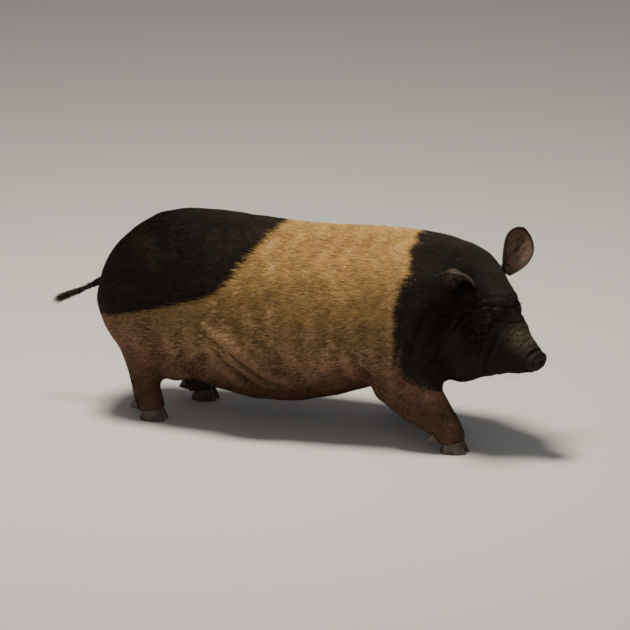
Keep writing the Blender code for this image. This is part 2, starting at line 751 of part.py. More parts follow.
def tail():
    """The thin straight tail with a tuft of tapered locks at its end."""
    rings = []
    for i in range(TAIL_STEPS + 1):
        share = i / TAIL_STEPS
        centre = tail_point(share)
        along = (tail_point(min(1, share + 0.05)) - tail_point(max(0, share - 0.05))).normalized()
        side = Vector((0, 1, 0))
        up = along.cross(side).normalized()
        radius = TAIL_RADIUS * (1 - TAIL_TAPER * share ** 0.8)
        ring = []
        for j in range(TAIL_SIDES):
            angle = math.tau * j / TAIL_SIDES
            ring.append(centre + (side * math.cos(angle) + up * math.sin(angle)) * radius)
        rings.append(ring)
    stem = loft("tail", rings, "pot_bellied_pig")
    locks = bpy.data.collections.new("tail_locks")
    bpy.context.scene.collection.children.link(locks)
    draw = random.Random(TUFT_SEED)
    down_way = (tail_point(1) - tail_point(0.85)).normalized()
    for i in range(TUFT_LOCKS):
        angle = math.tau * i / TUFT_LOCKS + draw.uniform(-0.2, 0.2)
        root = tail_point(0.80 + 0.16 * draw.random())
        out = Vector((0, math.cos(angle), math.sin(angle)))
        length = TUFT_LENGTH * draw.uniform(0.75, 1.1)
        lock_rings = []
        for step in range(LOCK_STEPS):
            share = step / (LOCK_STEPS - 1)
            centre = root + down_way * length * share
            centre += out * (0.0012 + LOCK_BULGE * math.sin(math.pi * 0.8 * share))
            centre.z -= LOCK_DROOP * share ** 2
            width = LOCK_WIDTH * max(0.12, (1 - share) ** 0.7)
            flat = out.cross(down_way).normalized()
            thick = out * width * 0.55
            lock_rings.append([
                centre + flat * width, centre + thick, centre - flat * width, centre - thick,
            ])
        lock = loft("lock", lock_rings)
        bpy.data.collections["cutters"].objects.unlink(lock)
        locks.objects.link(lock)
    modify(stem, "BOOLEAN", operand_type="COLLECTION", collection=locks, operation="UNION", solver="EXACT")
    drop(*list(locks.objects))
    bpy.data.collections.remove(locks)
    cutter = grown(bpy.data.objects["torso"])
    combine(stem, cutter, "DIFFERENCE")
    drop(cutter)
    tidy_surface(stem)


def claw(name, frame, length, width, height):
    """One horny claw: sloping walls, a pointed toe and a rounded heel, below a crown that falls back."""
    rings = []
    for level in (0.0, 0.35, 0.75, 1.0):
        front = length * (0.50 - 0.24 * level)
        back = length * (-0.50 - 0.05 * math.sin(math.pi * level) + 0.10 * level)
        half_width = width / 2 * (1.0 - 0.06 * level ** 2)
        middle = (front + back) / 2
        ring = []
        for i in range(CLAW_SEGMENTS):
            angle = math.tau * i / CLAW_SEGMENTS
            ahead = math.cos(angle)
            toe = 1.0 - 0.30 * max(0.0, ahead) ** 2
            x = middle + (front - back) / 2 * ahead
            z = level * (height + math.tan(HOOF_EDGE_SLOPE) * x)
            ring.append(frame @ Vector((x, half_width * toe * math.sin(angle), z)))
        rings.append(ring)
    return loft(name, rings, "pot_bellied_pig")


def feet():
    """Two main claws and two dewclaws on each foot, seated in the hide of the leg."""
    for name in LEG_CUTS:
        leg = bpy.data.objects[name]
        foot = leg_sections(name)[-1][0]
        way_up = Matrix.Rotation(-HOOF_EDGE_SLOPE, 3, "Y") @ Vector((0, 0, 1))
        cut_ahead(leg, Vector((foot.x, foot.y, HOOF_EDGE_HEIGHT)), way_up)
        outward = SIDES[name.rsplit("_", 1)[1]]
        for toe, across in (("inner", -outward), ("outer", outward)):
            place = Vector((foot.x + TOE_AHEAD, foot.y + across * CLAW_SPREAD, 0))
            frame = Matrix.Translation(place) @ Matrix.Rotation(-across * CLAW_TURN, 4, "Z")
            main = claw(
                name.replace("leg", "claw") + "_" + toe, frame, CLAW_LENGTH, CLAW_WIDTH, CLAW_HEIGHT
            )
            cutter = grown(main)
            combine(leg, cutter, "DIFFERENCE")
            drop(cutter)
        tidy_surface(leg)
        find = skin_finder(leg)
        for toe, across in (("inner", -outward), ("outer", outward)):
            inside = Vector((foot.x, foot.y, DEWCLAW_UP))
            way = Vector((-DEWCLAW_BACK, across * DEWCLAW_APART, 0))
            seat = find(inside, way)
            turn = math.atan2(-way.y, -way.x)
            frame = (
                Matrix.Translation(seat + way.normalized() * DEWCLAW_PROUD)
                @ Matrix.Rotation(turn, 4, "Z")
                @ Matrix.Rotation(DEWCLAW_TILT, 4, "Y")
            )
            small = claw(
                name.replace("leg", "dewclaw") + "_" + toe, frame, DEWCLAW_LENGTH,
                DEWCLAW_LENGTH * 0.66, DEWCLAW_LENGTH * 0.8,
            )
            cutter = grown(leg)
            combine(small, cutter, "DIFFERENCE")
            drop(cutter)
            tidy_surface(small)


def material(name):
    """A plain material of one colour for the solids."""
    made = bpy.data.materials.new(name)
    made.use_nodes = True
    shader = made.node_tree.nodes["Principled BSDF"]
    shader.inputs["Base Color"].default_value = (*COLOURS[name], 1)
    shader.inputs["Roughness"].default_value = ROUGHNESS[name]
    shader.inputs["Metallic"].default_value = 0.0
    return made


def colour_parts():
    """Gives each part its own material."""
    for item in bpy.data.collections["pot_bellied_pig"].objects:
        if item.name.startswith(("head", "snout", "neck", "ear", "tail")):
            kind = "black_skin"
        elif item.name.startswith("torso"):
            kind = "cream_skin"
        elif item.name.startswith("leg"):
            kind = "pink_skin"
        elif item.name.startswith("eye"):
            kind = "eye"
        else:
            kind = "horn"
        made = material(kind)
        made.name = item.name + "_" + kind
        item.data.materials.clear()
        item.data.materials.append(made)
        item.data.shade_smooth()
        item.data.set_sharp_from_angle(angle=math.radians(50))


def centre_parts():
    """Sets the middle of the whole animal over the origin, with the soles on the floor."""
    parts = bpy.data.collections["pot_bellied_pig"].objects
    places = [vertex.co for part in parts for vertex in part.data.vertices]
    middle = [(min(p[i] for p in places) + max(p[i] for p in places)) / 2 for i in range(2)]
    move = Matrix.Translation((-middle[0], -middle[1], 0))
    for part in parts:
        part.data.transform(move)


clear_scene()
part_body()
part_head()
for ear_side in SIDES:
    ear(ear_side)
tail()
feet()
centre_parts()
colour_parts()
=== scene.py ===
import math

import bmesh
import bpy
import numpy as np
from mathutils import Matrix, Vector
from mathutils.bvhtree import BVHTree
from mathutils.kdtree import KDTree


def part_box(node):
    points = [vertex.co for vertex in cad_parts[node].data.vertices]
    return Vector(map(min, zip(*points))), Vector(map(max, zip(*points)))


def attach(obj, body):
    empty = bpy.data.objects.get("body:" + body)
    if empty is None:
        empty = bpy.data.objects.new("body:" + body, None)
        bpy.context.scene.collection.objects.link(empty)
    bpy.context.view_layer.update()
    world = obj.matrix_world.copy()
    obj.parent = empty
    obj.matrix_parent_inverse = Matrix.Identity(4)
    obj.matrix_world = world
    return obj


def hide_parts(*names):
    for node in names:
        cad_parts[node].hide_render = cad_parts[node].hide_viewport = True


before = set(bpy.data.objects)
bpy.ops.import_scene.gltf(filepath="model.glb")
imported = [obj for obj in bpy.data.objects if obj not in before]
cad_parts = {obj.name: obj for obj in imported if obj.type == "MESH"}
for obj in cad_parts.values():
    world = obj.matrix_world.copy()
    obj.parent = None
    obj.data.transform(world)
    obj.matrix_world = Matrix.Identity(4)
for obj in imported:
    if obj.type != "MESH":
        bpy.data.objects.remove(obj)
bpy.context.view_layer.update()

# The hide: one skin over trunk, neck, head and legs, about 2 mm thick and close to the flesh.
# The parted solids are swelled into one another, remade as one even grid, smoothed, and then laid
# inside the solids by the depth of the coat.
FLESH = (
    "torso", "neck", "head", "snout",
    "leg_front_left", "leg_front_right", "leg_hind_left", "leg_hind_right",
)
SWELL = 0.0022
HIDE_GRID = 0.0054
HIDE_SMOOTHING = 12
SAME_PLACE = 0.00001


def deselect():
    bpy.ops.object.select_all(action="DESELECT")


def make_active(item):
    deselect()
    item.select_set(True)
    bpy.context.view_layer.objects.active = item


def apply(item, kind, **settings):
    """Adds one modifier with these settings and applies it."""
    make_active(item)
    modifier = item.modifiers.new(kind.lower(), kind)
    for setting, value in settings.items():
        setattr(modifier, setting, value)
    bpy.ops.object.modifier_apply(modifier=modifier.name)


def merge(item, gap, turn_outward=False):
    """Makes one point of those within the gap of each other, and turns the faces outward if asked."""
    make_active(item)
    bpy.ops.object.mode_set(mode="EDIT")
    bpy.ops.mesh.select_all(action="SELECT")
    bpy.ops.mesh.remove_doubles(threshold=gap)
    if turn_outward:
        bpy.ops.mesh.normals_make_consistent(inside=False)
    bpy.ops.object.mode_set(mode="OBJECT")


def link(name, data):
    """A new object in the scene, made of this mesh, curve, lamp or camera."""
    item = bpy.data.objects.new(name, data)
    bpy.context.scene.collection.objects.link(item)
    return item


def places(item):
    """The points of a mesh as an array."""
    flat = np.empty(len(item.data.vertices) * 3)
    item.data.vertices.foreach_get("co", flat)
    return flat.reshape(-1, 3)


def put(item, points):
    item.data.vertices.foreach_set("co", points.ravel())
    item.data.update()


def normals(item):
    flat = np.empty(len(item.data.vertices) * 3)
    item.data.vertex_normals.foreach_get("vector", flat)
    return flat.reshape(-1, 3)


def edges(item):
    pairs = np.empty(len(item.data.edges) * 2, dtype=np.int64)
    item.data.edges.foreach_get("vertices", pairs)
    return pairs.reshape(-1, 2)


def evened(values, pairs, rounds, share=0.5):
    """Values on the points of a mesh, drawn towards the mean of their neighbours; share may vary."""
    count = len(values)
    degree = np.bincount(pairs.ravel(), minlength=count).clip(1)
    flat = values.reshape(count, -1)
    amount = np.broadcast_to(np.asarray(share, float), (count,))[:, None]
    for _ in range(rounds):
        total = np.stack([
            np.bincount(pairs[:, 0], flat[pairs[:, 1], axis], count)
            + np.bincount(pairs[:, 1], flat[pairs[:, 0], axis], count)
            for axis in range(flat.shape[1])
        ], axis=1)
        flat = flat + amount * (total / degree[:, None] - flat)
    return flat.reshape(values.shape)


def ease(values, low, high):
    """0 below low, 1 above high, and a soft step between them."""
    share = np.clip((values - low) / (high - low), 0, 1)
    return share * share * (3 - 2 * share)


lumps = []
for node in FLESH:
    lump = link("lump_" + node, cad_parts[node].data.copy())
    merge(lump, SAME_PLACE)
    apply(lump, "DISPLACE", strength=SWELL, mid_level=0.0)
    lumps.append(lump)
make_active(lumps[0])
for lump in lumps:
    lump.select_set(True)
bpy.ops.object.join()
hide = lumps[0]
apply(hide, "REMESH", mode="VOXEL", voxel_size=HIDE_GRID)
bpy.ops.object.mode_set(mode="EDIT")
bpy.ops.mesh.separate(type="LOOSE")
bpy.ops.object.mode_set(mode="OBJECT")
loose = [item for item in bpy.context.selected_objects if item.type == "MESH"]
hide = max(loose, key=lambda item: len(item.data.vertices))
for scrap in loose:
    if scrap is not hide:
        bpy.data.objects.remove(scrap)
hide.name = hide.data.name = "hide"
apply(hide, "SMOOTH", factor=0.5, iterations=HIDE_SMOOTHING)

# The hide is laid inside the solids by the depth of the coat, which is less on the face and the feet.
# The head has axes of its own, found from the two eyes: ahead along the snout, left and up.
COAT_DEPTH_BODY = 0.0021
COAT_DEPTH_FACE = 0.0012
COAT_DEPTH_FOOT = 0.0010
FEET_HEIGHT = 0.060
LARGEST_MOVE = 0.012
MOVE_ROUNDS = 14
HEAD_LENGTH = 0.165
HEAD_PITCH = math.radians(12)
EYES_AHEAD = 0.427
EYES_ABOVE = 0.196
FACE_STARTS = (0.10, 0.45)
THROAT_ENDS = (-0.75, -0.62)
eye_places = {side: sum(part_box("eye_" + side), Vector()) / 2 for side in ("left", "right")}
head_left = (eye_places["left"] - eye_places["right"]).normalized()
head_ahead = Matrix.Rotation(HEAD_PITCH, 3, head_left) @ head_left.cross(Vector((0, 0, 1)))
head_up = head_ahead.cross(head_left)
head_turn = np.array([head_ahead, head_left, head_up])
head_root = (
    (eye_places["left"] + eye_places["right"]) / 2
    - (head_ahead * EYES_AHEAD + head_up * EYES_ABOVE) * HEAD_LENGTH
)


def in_head(points):
    """Places in the head's axes, in head lengths from its root."""
    return (np.asarray(points) - np.array(head_root)) @ head_turn.T / HEAD_LENGTH


def from_head(ahead, left, up):
    return head_root + (head_ahead * ahead + head_left * left + head_up * up) * HEAD_LENGTH


def tree_of(items):
    points, faces = [], []
    for item in items:
        item.data.calc_loop_triangles()
        corners = np.empty(len(item.data.loop_triangles) * 3, dtype=np.int64)
        item.data.loop_triangles.foreach_get("vertices", corners)
        faces.extend((corners.reshape(-1, 3) + len(points)).tolist())
        points.extend(places(item).tolist())
    return BVHTree.FromPolygons(points, faces)


def face_share(points):
    """1 on the face and snout, 0 on the back of the head and the body."""
    spot = in_head(points)
    return ease(spot[:, 0], *FACE_STARTS) * ease(spot[:, 2], *THROAT_ENDS)


def coat_depth(points):
    """How deep the skin lies below the outline of the coat."""
    foot = 1 - ease(points[:, 2], FEET_HEIGHT * 0.5, FEET_HEIGHT * 1.6)
    depth = COAT_DEPTH_BODY + (COAT_DEPTH_FACE - COAT_DEPTH_BODY) * face_share(points)
    return depth + (COAT_DEPTH_FOOT - depth) * foot


def lay_inside(item, tree):
    """Moves the skin along its normals until it lies inside the solids by the coat's depth."""
    points, ways = places(item), normals(item)
    nearest = np.array([tree.find_nearest(point)[0] for point in points])
    height = ((points - nearest) * ways).sum(1).clip(-LARGEST_MOVE, LARGEST_MOVE)
    shift = evened(-coat_depth(points) - height, edges(item), MOVE_ROUNDS)
    put(item, points + ways * shift[:, None])


solid_tree = tree_of([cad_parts[node] for node in FLESH])
lay_inside(hide, solid_tree)

# The hide is finer on the head, and finest about the eyes and along the closed mouth, where the small
# folds lie. The line of the mouth is found by looking out from inside the head.
EYE_SKIN = 0.014
MOUTH_BAND = 0.0045
MOUTH_FRONT = (0.915, -0.236)
MOUTH_CORNER = (0.590, -0.200)
MOUTH_SAG = 0.022
MOUTH_SPOTS = 12
FINER_SKIN = ((-0.68, -0.05), (-0.60, 0.30))


def refine(item, wanted):
    """Splits the faces whose middles are wanted, and evens the new points among the old."""
    make_active(item)
    bpy.context.tool_settings.mesh_select_mode = (False, False, True)
    bpy.ops.object.mode_set(mode="EDIT")
    bpy.ops.mesh.select_all(action="DESELECT")
    bpy.ops.object.mode_set(mode="OBJECT")
    middles = np.empty(len(item.data.polygons) * 3)
    item.data.polygons.foreach_get("center", middles)
    picked = wanted(middles.reshape(-1, 3))
    item.data.polygons.foreach_set("select", picked)
    bpy.ops.object.mode_set(mode="EDIT")
    bpy.ops.mesh.subdivide(number_cuts=1, smoothness=0.0)
    bpy.ops.object.mode_set(mode="OBJECT")
    points = places(item)
    share = 0.5 * wanted(points)
    put(item, evened(points, edges(item), 2, share))


def gap_to(points, line):
    """Distance from each place to a line through several places, and how far along it that is."""
    best = np.full(len(points), 1e9)
    along = np.zeros(len(points))
    for index, (start, end) in enumerate(zip(line, line[1:])):
        start, end = np.array(start), np.array(end)
        run = end - start
        share = np.clip((points - start) @ run / (run @ run), 0, 1)
        reach = np.linalg.norm(points - start - share[:, None] * run, axis=1)
        closer = reach < best
        best[closer] = reach[closer]
        along[closer] = (index + share[closer]) / (len(line) - 1)
    return best, along


# The body's own axes start below the withers; one claw of known place gives where that is.
CLAW_PLACE = Vector((0.2185, -0.1038, 0.0))
claw_low, claw_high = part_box("claw_front_right_outer")
body_origin = (claw_low + claw_high) / 2 - CLAW_PLACE
body_origin.z = 0.0


def cast(tree, start, way):
    """Where a straight way out from inside the head meets the skin."""
    found = tree.ray_cast(start, way.normalized())[0]
    return found if found is not None else start


def side_line(tree, side, spots):
    """Places on one side of the head, given as pairs of head lengths ahead and up."""
    return [cast(tree, from_head(ahead, 0, up), head_left * side) for ahead, up in spots]


def top_line(tree, spots):
    """Places on the top of the head, given as pairs of head lengths ahead and left."""
    return [cast(tree, from_head(ahead, left, -0.1), head_up) for ahead, left in spots]


def mouth_line(tree):
    """The closed mouth from one corner round the front to the other."""
    half = []
    for share in np.linspace(0, 1, MOUTH_SPOTS):
        ahead = MOUTH_FRONT[0] + (MOUTH_CORNER[0] - MOUTH_FRONT[0]) * share
        height = MOUTH_FRONT[1] + (MOUTH_CORNER[1] - MOUTH_FRONT[1]) * share
        height -= MOUTH_SAG * math.sin(math.pi * share)
        # the look swings from straight ahead to sideways over the first two fifths of each half
        aim = math.radians(2 + 86 * min(1.0, 2.4 * share))
        for_side = {}
        for side in (-1, 1):
            way = head_ahead * math.cos(aim) + head_left * (side * math.sin(aim))
            for_side[side] = cast(tree, from_head(ahead - 0.2 * math.cos(aim), 0, height), way)
        half.append(for_side)
    return [spot[-1] for spot in half[::-1]] + [spot[1] for spot in half]


for above, before in FINER_SKIN:
    refine(hide, lambda spots: (in_head(spots)[:, 2] > above) & (in_head(spots)[:, 0] > before))
hide_tree = tree_of([hide])
mouth_path = mouth_line(hide_tree)
eye_middles = [np.array(place) for place in eye_places.values()]


def near_eyes_or_mouth(spots):
    close = gap_to(spots, mouth_path)[0] < MOUTH_BAND
    for middle in eye_middles:
        close |= np.linalg.norm(spots - middle, axis=1) < EYE_SKIN
    return close


refine(hide, near_eyes_or_mouth)

# The ears: small upright leaves of gristle and skin, rolled at the root. The right one stands out
# level with its cup turned down, the left one stands up. The tail is a thin round cord of flesh.
EAR_LENGTH = 0.072
EAR_WIDTH = 0.053
EAR_SUNK = 0.012
EAR_THICKNESS = 0.0030
EAR_RIM_THICKNESS = 0.0016
EAR_ROLL_ROOT = math.radians(65)
EAR_ROLL_TIP = math.radians(34)
EAR_WIDEST = 0.60
EAR_ROOT_NARROWING = 0.72
EAR_BEND_START = 0.45
EAR_WAVE = 0.0011
EAR_RIDGE = 0.0024
CREASE_START = -0.30
CREASE_SLANT = 0.75
CREASE_WIDTH = 0.20
EAR_ROWS, EAR_COLUMNS = 34, 26
# Each ear: its root, the way it points, the way its cup faces, how far its end bends, its share of width.
EARS = {
    "right": ((0.13, -0.265, 0.490), Vector((-0.15, -0.84, 0.52)), Vector((0.45, -0.45, -0.77)), 1.0, 1.0),
    "left": ((0.18, 0.285, 0.535), Vector((-0.20, 0.62, 0.90)), Vector((0.88, -0.75, -0.22)), 0.4, 1.06),
}
EAR_ROOT_STEP = (0.002, 0.009)
EAR_TOUCH = 0.004
CLEAR_OF_HEAD = 0.02


def head_way(way):
    return head_ahead * way.x + head_left * way.y + head_up * way.z


def ear_outline(share):
    """The ear's width as a share of its widest: narrowed towards the root, rounded towards the tip."""
    if share < EAR_WIDEST:
        return (1 - EAR_ROOT_NARROWING * (1 - share / EAR_WIDEST) ** 2) ** 1.15
    return (1 - ((share - EAR_WIDEST) / (1.005 - EAR_WIDEST)) ** 2) ** 0.6


def ear_grid(side):
    """Rows of places over the ear's middle sheet, with the way each faces into the cup."""
    root, point_way, face_way, bend, width_share = EARS[side]
    along = head_way(point_way).normalized()
    facing = head_way(face_way)
    facing = (facing - along * facing.dot(along)).normalized()
    across = along.cross(facing)
    middle = from_head(*root) - along * EAR_SUNK
    step = (EAR_LENGTH + EAR_SUNK) / EAR_ROWS
    spots, ways = [], []
    for row in range(EAR_ROWS + 1):
        share = row / EAR_ROWS
        lean = bend * max(0.0, share - EAR_BEND_START) ** 2 / 0.3
        way = along * math.cos(lean) + facing * math.sin(lean)
        normal = facing * math.cos(lean) - along * math.sin(lean)
        half_width = EAR_WIDTH / 2 * width_share * ear_outline(share)
        roll = EAR_ROLL_ROOT * (1 - share) ** 1.2 + EAR_ROLL_TIP
        radius = half_width / math.sin(min(roll, math.pi / 2))
        for column in range(EAR_COLUMNS + 1):
            across_share = 2 * column / EAR_COLUMNS - 1
            angle = roll * across_share
            wave = EAR_WAVE * math.sin(5 * across_share + 4 * share) * share
            crease = (across_share - CREASE_START - CREASE_SLANT * share) / CREASE_WIDTH
            ridge = EAR_RIDGE * (math.exp(-(crease - 1.3) ** 2) - math.exp(-crease ** 2))
            ridge *= math.sin(math.pi * share) ** 0.5
            spots.append(
                middle + across * (radius * math.sin(angle))
                + normal * (radius * (1 - math.cos(angle)) + wave + ridge)
            )
            ways.append(normal * math.cos(angle) - across * math.sin(angle))
        middle = middle + way * step
    return spots, ways


def ear(side):
    """The ear as one closed leaf, thinning towards its rim."""
    spots, ways = ear_grid(side)
    shape = bmesh.new()
    skins = []
    for sign in (1, -1):
        skin = []
        for index, (spot, way) in enumerate(zip(spots, ways)):
            row, column = divmod(index, EAR_COLUMNS + 1)
            inner = min(1.0, 4.0 * (1 - abs(2 * column / EAR_COLUMNS - 1)), 3.5 * (1 - row / EAR_ROWS))
            thickness = EAR_RIM_THICKNESS + (EAR_THICKNESS - EAR_RIM_THICKNESS) * inner ** 0.5
            skin.append(shape.verts.new(spot + way * (sign * thickness / 2)))
        skins.append(skin)
    wide = EAR_COLUMNS + 1
    for row in range(EAR_ROWS):
        for column in range(EAR_COLUMNS):
            corner = [row * wide + column, row * wide + column + 1]
            ring = corner + [corner[1] + wide, corner[0] + wide]
            shape.faces.new([skins[0][i] for i in ring])
            shape.faces.new([skins[1][i] for i in reversed(ring)])
    rim = (
        list(range(wide))
        + [row * wide + EAR_COLUMNS for row in range(1, EAR_ROWS + 1)]
        + [EAR_ROWS * wide + column for column in range(EAR_COLUMNS - 1, -1, -1)]
        + [row * wide for row in range(EAR_ROWS - 1, 0, -1)]
    )
    for near, far in zip(rim, rim[1:] + rim[:1]):
        shape.faces.new((skins[0][near], skins[1][near], skins[1][far], skins[0][far]))
    bmesh.ops.recalc_face_normals(shape, faces=shape.faces)
    mesh = bpy.data.meshes.new("ear_" + side)
    shape.to_mesh(mesh)
    shape.free()
    return link("ear_" + side, mesh)


TAIL_ROUTE = (
    (-0.400, 0.0, 0.232), (-0.425, 0.0, 0.220), (-0.447, 0.0, 0.206),
    (-0.468, -0.001, 0.195), (-0.486, -0.002, 0.187), (-0.502, -0.003, 0.180),
)
TAIL_RADIUS = 0.0062
TAIL_TAPER = 0.66
TAIL_MERGE = 0.00005


def tail():
    """The tail's flesh, a tapering tube that starts inside the rump."""
    curve = bpy.data.curves.new("tail_line", "CURVE")
    curve.dimensions = "3D"
    curve.bevel_depth = TAIL_RADIUS
    curve.bevel_resolution = 5
    curve.resolution_u = 10
    curve.use_fill_caps = True
    spline = curve.splines.new("BEZIER")
    spline.bezier_points.add(len(TAIL_ROUTE) - 1)
    for index, (point, place) in enumerate(zip(spline.bezier_points, TAIL_ROUTE)):
        point.co = body_origin + Vector(place)
        point.handle_left_type = point.handle_right_type = "AUTO"
        point.radius = 1 - TAIL_TAPER * (index / (len(TAIL_ROUTE) - 1)) ** 0.8
    make_active(link("tail_line", curve))
    bpy.ops.object.convert(target="MESH")
    cord = bpy.context.object
    merge(cord, TAIL_MERGE, turn_outward=True)
    return cord


# The nose disc: a firm pad of bare skin on the end of the snout, with a rolled rim and two
# nostrils sunk into it. It is remade as a fine even grid, and dished, notched and bored by height.
DISC_HALF_WIDTH = 0.0242
DISC_HALF_HEIGHT = 0.0180
DISC_THICKNESS = 0.013
DISC_PLACE = (0.920, 0.0, -0.136)
DISC_TILT = math.radians(8)
DISC_GRID = 0.0009
DISC_DISH = 0.0015
DISC_ROUNDING = 0.0036
NOTCH_DEPTH = 0.0009
NOTCH_WIDTH = 0.0030
SNOUT_END = 0.893
SNOUT_FLAT = (-0.228, 0.1)
NOSTRIL_APART = 0.0200
NOSTRIL_HALF = (0.0034, 0.0048)
NOSTRIL_DEPTH = 0.0075
NOSTRIL_RIM = 0.0007
NOSTRIL_SLANT = math.radians(24)


def nose_frame():
    turn = Matrix((head_ahead, head_left, head_up)).transposed().to_4x4()
    place = Matrix.Translation(from_head(*DISC_PLACE))
    return place @ turn @ Matrix.Rotation(DISC_TILT, 4, "Y")


def nose_disc():
    """The pad, rounded at its rim and dished in the middle, with the nostrils sunk into it."""
    deselect()
    bpy.ops.mesh.primitive_cylinder_add(
        vertices=72, radius=1, depth=DISC_THICKNESS, rotation=(0, math.pi / 2, 0)
    )
    disc = bpy.context.object
    disc.name = "nose_disc"
    bpy.ops.object.transform_apply(location=False, rotation=True, scale=False)
    disc.data.transform(Matrix.Diagonal((1, DISC_HALF_WIDTH, DISC_HALF_HEIGHT, 1)))
    apply(disc, "BEVEL", width=DISC_ROUNDING, segments=5, limit_method="ANGLE", angle_limit=math.radians(60))
    apply(disc, "REMESH", mode="VOXEL", voxel_size=DISC_GRID)
    apply(disc, "SMOOTH", factor=0.5, iterations=4)
    points = places(disc)
    across, high = points[:, 1], points[:, 2]
    front = ease(points[:, 0], 0.0, 0.35 * DISC_THICKNESS)
    reach = np.hypot(across / DISC_HALF_WIDTH, high / DISC_HALF_HEIGHT)
    sink = DISC_DISH * (1 - ease(reach, 0.25, 0.85))
    lower_half = ease(-high, 0.1 * DISC_HALF_HEIGHT, DISC_HALF_HEIGHT)
    sink += NOTCH_DEPTH * np.exp(-(across / NOTCH_WIDTH) ** 2) * lower_half
    for side in (-1, 1):
        aside = across * side - NOSTRIL_APART / 2
        turned = aside * math.cos(NOSTRIL_SLANT) - high * math.sin(NOSTRIL_SLANT)
        raised = aside * math.sin(NOSTRIL_SLANT) + high * math.cos(NOSTRIL_SLANT)
        hole = np.hypot(turned / NOSTRIL_HALF[0], raised / NOSTRIL_HALF[1])
        rim = NOSTRIL_RIM * np.exp(-((hole - 1.45) / 0.3) ** 2)
        sink += NOSTRIL_DEPTH * (1 - ease(hole, 0.35, 1.05)) - rim
    points[:, 0] -= front * sink
    put(disc, points)
    disc.data.transform(nose_frame())
    return disc


def triangulate_wide_faces(item):
    shape = bmesh.new()
    shape.from_mesh(item.data)
    bmesh.ops.triangulate(shape, faces=[face for face in shape.faces if len(face.verts) > 4])
    shape.to_mesh(item.data)
    shape.free()


def grow_on(item, additions, blend=0.0042, rounds=10):
    """Joins closed pieces to the skin and softens the line where they meet it."""
    skin_tree = tree_of([item])
    piece_trees = [tree_of([piece]) for piece in additions]
    for piece in additions:
        apply(item, "BOOLEAN", object=piece, operation="UNION", solver="EXACT")
        bpy.data.objects.remove(piece)
    triangulate_wide_faces(item)
    points = places(item)
    share = np.zeros(len(points))
    for tree in piece_trees:
        for index, point in enumerate(points):
            reach = tree.find_nearest(point, blend)[3]
            if reach is None:
                continue
            other = skin_tree.find_nearest(point, blend)[3]
            if other is not None:
                share[index] = max(share[index], 1 - max(reach, other) / blend)
    put(item, evened(points, edges(item), rounds, 0.6 * share))


ear_leaves = [ear("left"), ear("right")]
ear_trees = [tree_of([leaf]) for leaf in ear_leaves]
bare_head = tree_of([hide])
grow_on(hide, [*ear_leaves, tail()])
points = places(hide)
spots = in_head(points)
past = np.clip(spots[:, 0] - SNOUT_END, 0, None)
past *= (spots[:, 2] > SNOUT_FLAT[0]) & (spots[:, 2] < SNOUT_FLAT[1])
put(hide, points - past[:, None] * HEAD_LENGTH * head_turn[0])
grow_on(hide, [nose_disc()], blend=0.0025, rounds=5)


def ear_share(points):
    """1 on the ears and 0 elsewhere, with a soft step at their roots."""
    share = np.zeros(len(points))
    for tree in ear_trees:
        for index, point in enumerate(points):
            if tree.find_nearest(point, EAR_TOUCH)[3] is not None:
                reach = bare_head.find_nearest(point, CLEAR_OF_HEAD)[3]
                share[index] = ease(CLEAR_OF_HEAD if reach is None else reach, *EAR_ROOT_STEP)
    return share


def ear_side(points):
    """Which ear each place is nearest to, as a row of the list of EARS: 0 right, 1 left."""
    return (in_head(points)[:, 1] > 0).astype(int)


# Folds of the hide: lids, lips, wrinkles of the face, folds of jowl, neck, flank and elbow. Each is
# pressed into the skin, or raised from it, along a line of places that lie on it.
EYEBALL_RADIUS = 0.0078
EYE_LOOK = Vector((0.50, 0.84, 0.12))
LID_THICKNESS = 0.0013
LID_HALF_WIDTH = 0.0070
UPPER_LID = 0.0043
LOWER_LID = 0.0034
LID_REACH = 0.024
LID_FOLDS = ((-0.0009, 0.0036, 0.0008), (0.0006, 0.0054, 0.0013), (-0.0006, 0.0076, 0.0009))
LID_BLEND = (0.0035, 0.0125)
SOCKET_DEPTH = 0.0022
WRINKLE_SEED = 5
WRINKLE_SPOTS = 9
WRINKLE_SHIFT = 0.0035
WRINKLE_LEAN = 0.08
FINE_WRINKLES = 0.00022
LOOSE_SKIN = 0.0006
NOISE_WAVES = 9


def press(points, ways, line, width, depth, shoulder=0.0):
    """A groove along a line, with rounded shoulders beside it; it fades at its ends."""
    box_low = np.min(line, axis=0) - 4 * width
    box_high = np.max(line, axis=0) + 4 * width
    near = np.flatnonzero(((points > box_low) & (points < box_high)).all(1))
    reach, along = gap_to(points[near], line)
    fade = np.sqrt(np.sin(math.pi * np.clip(along, 0.02, 0.98)))
    groove = -depth * np.exp(-(reach / width) ** 2)
    groove += shoulder * np.exp(-((reach - 2 * width) / width) ** 2)
    points[near] += ways[near] * (groove * fade)[:, None]


def eye_axes(side):
    """Where an eye looks, its up and the way along its lids."""
    look = np.array(head_way(Vector((EYE_LOOK.x, side * EYE_LOOK.y, EYE_LOOK.z))).normalized())
    up = np.array(head_up) - look * (np.array(head_up) @ look)
    up /= np.linalg.norm(up)
    return look, up, np.cross(up, look)


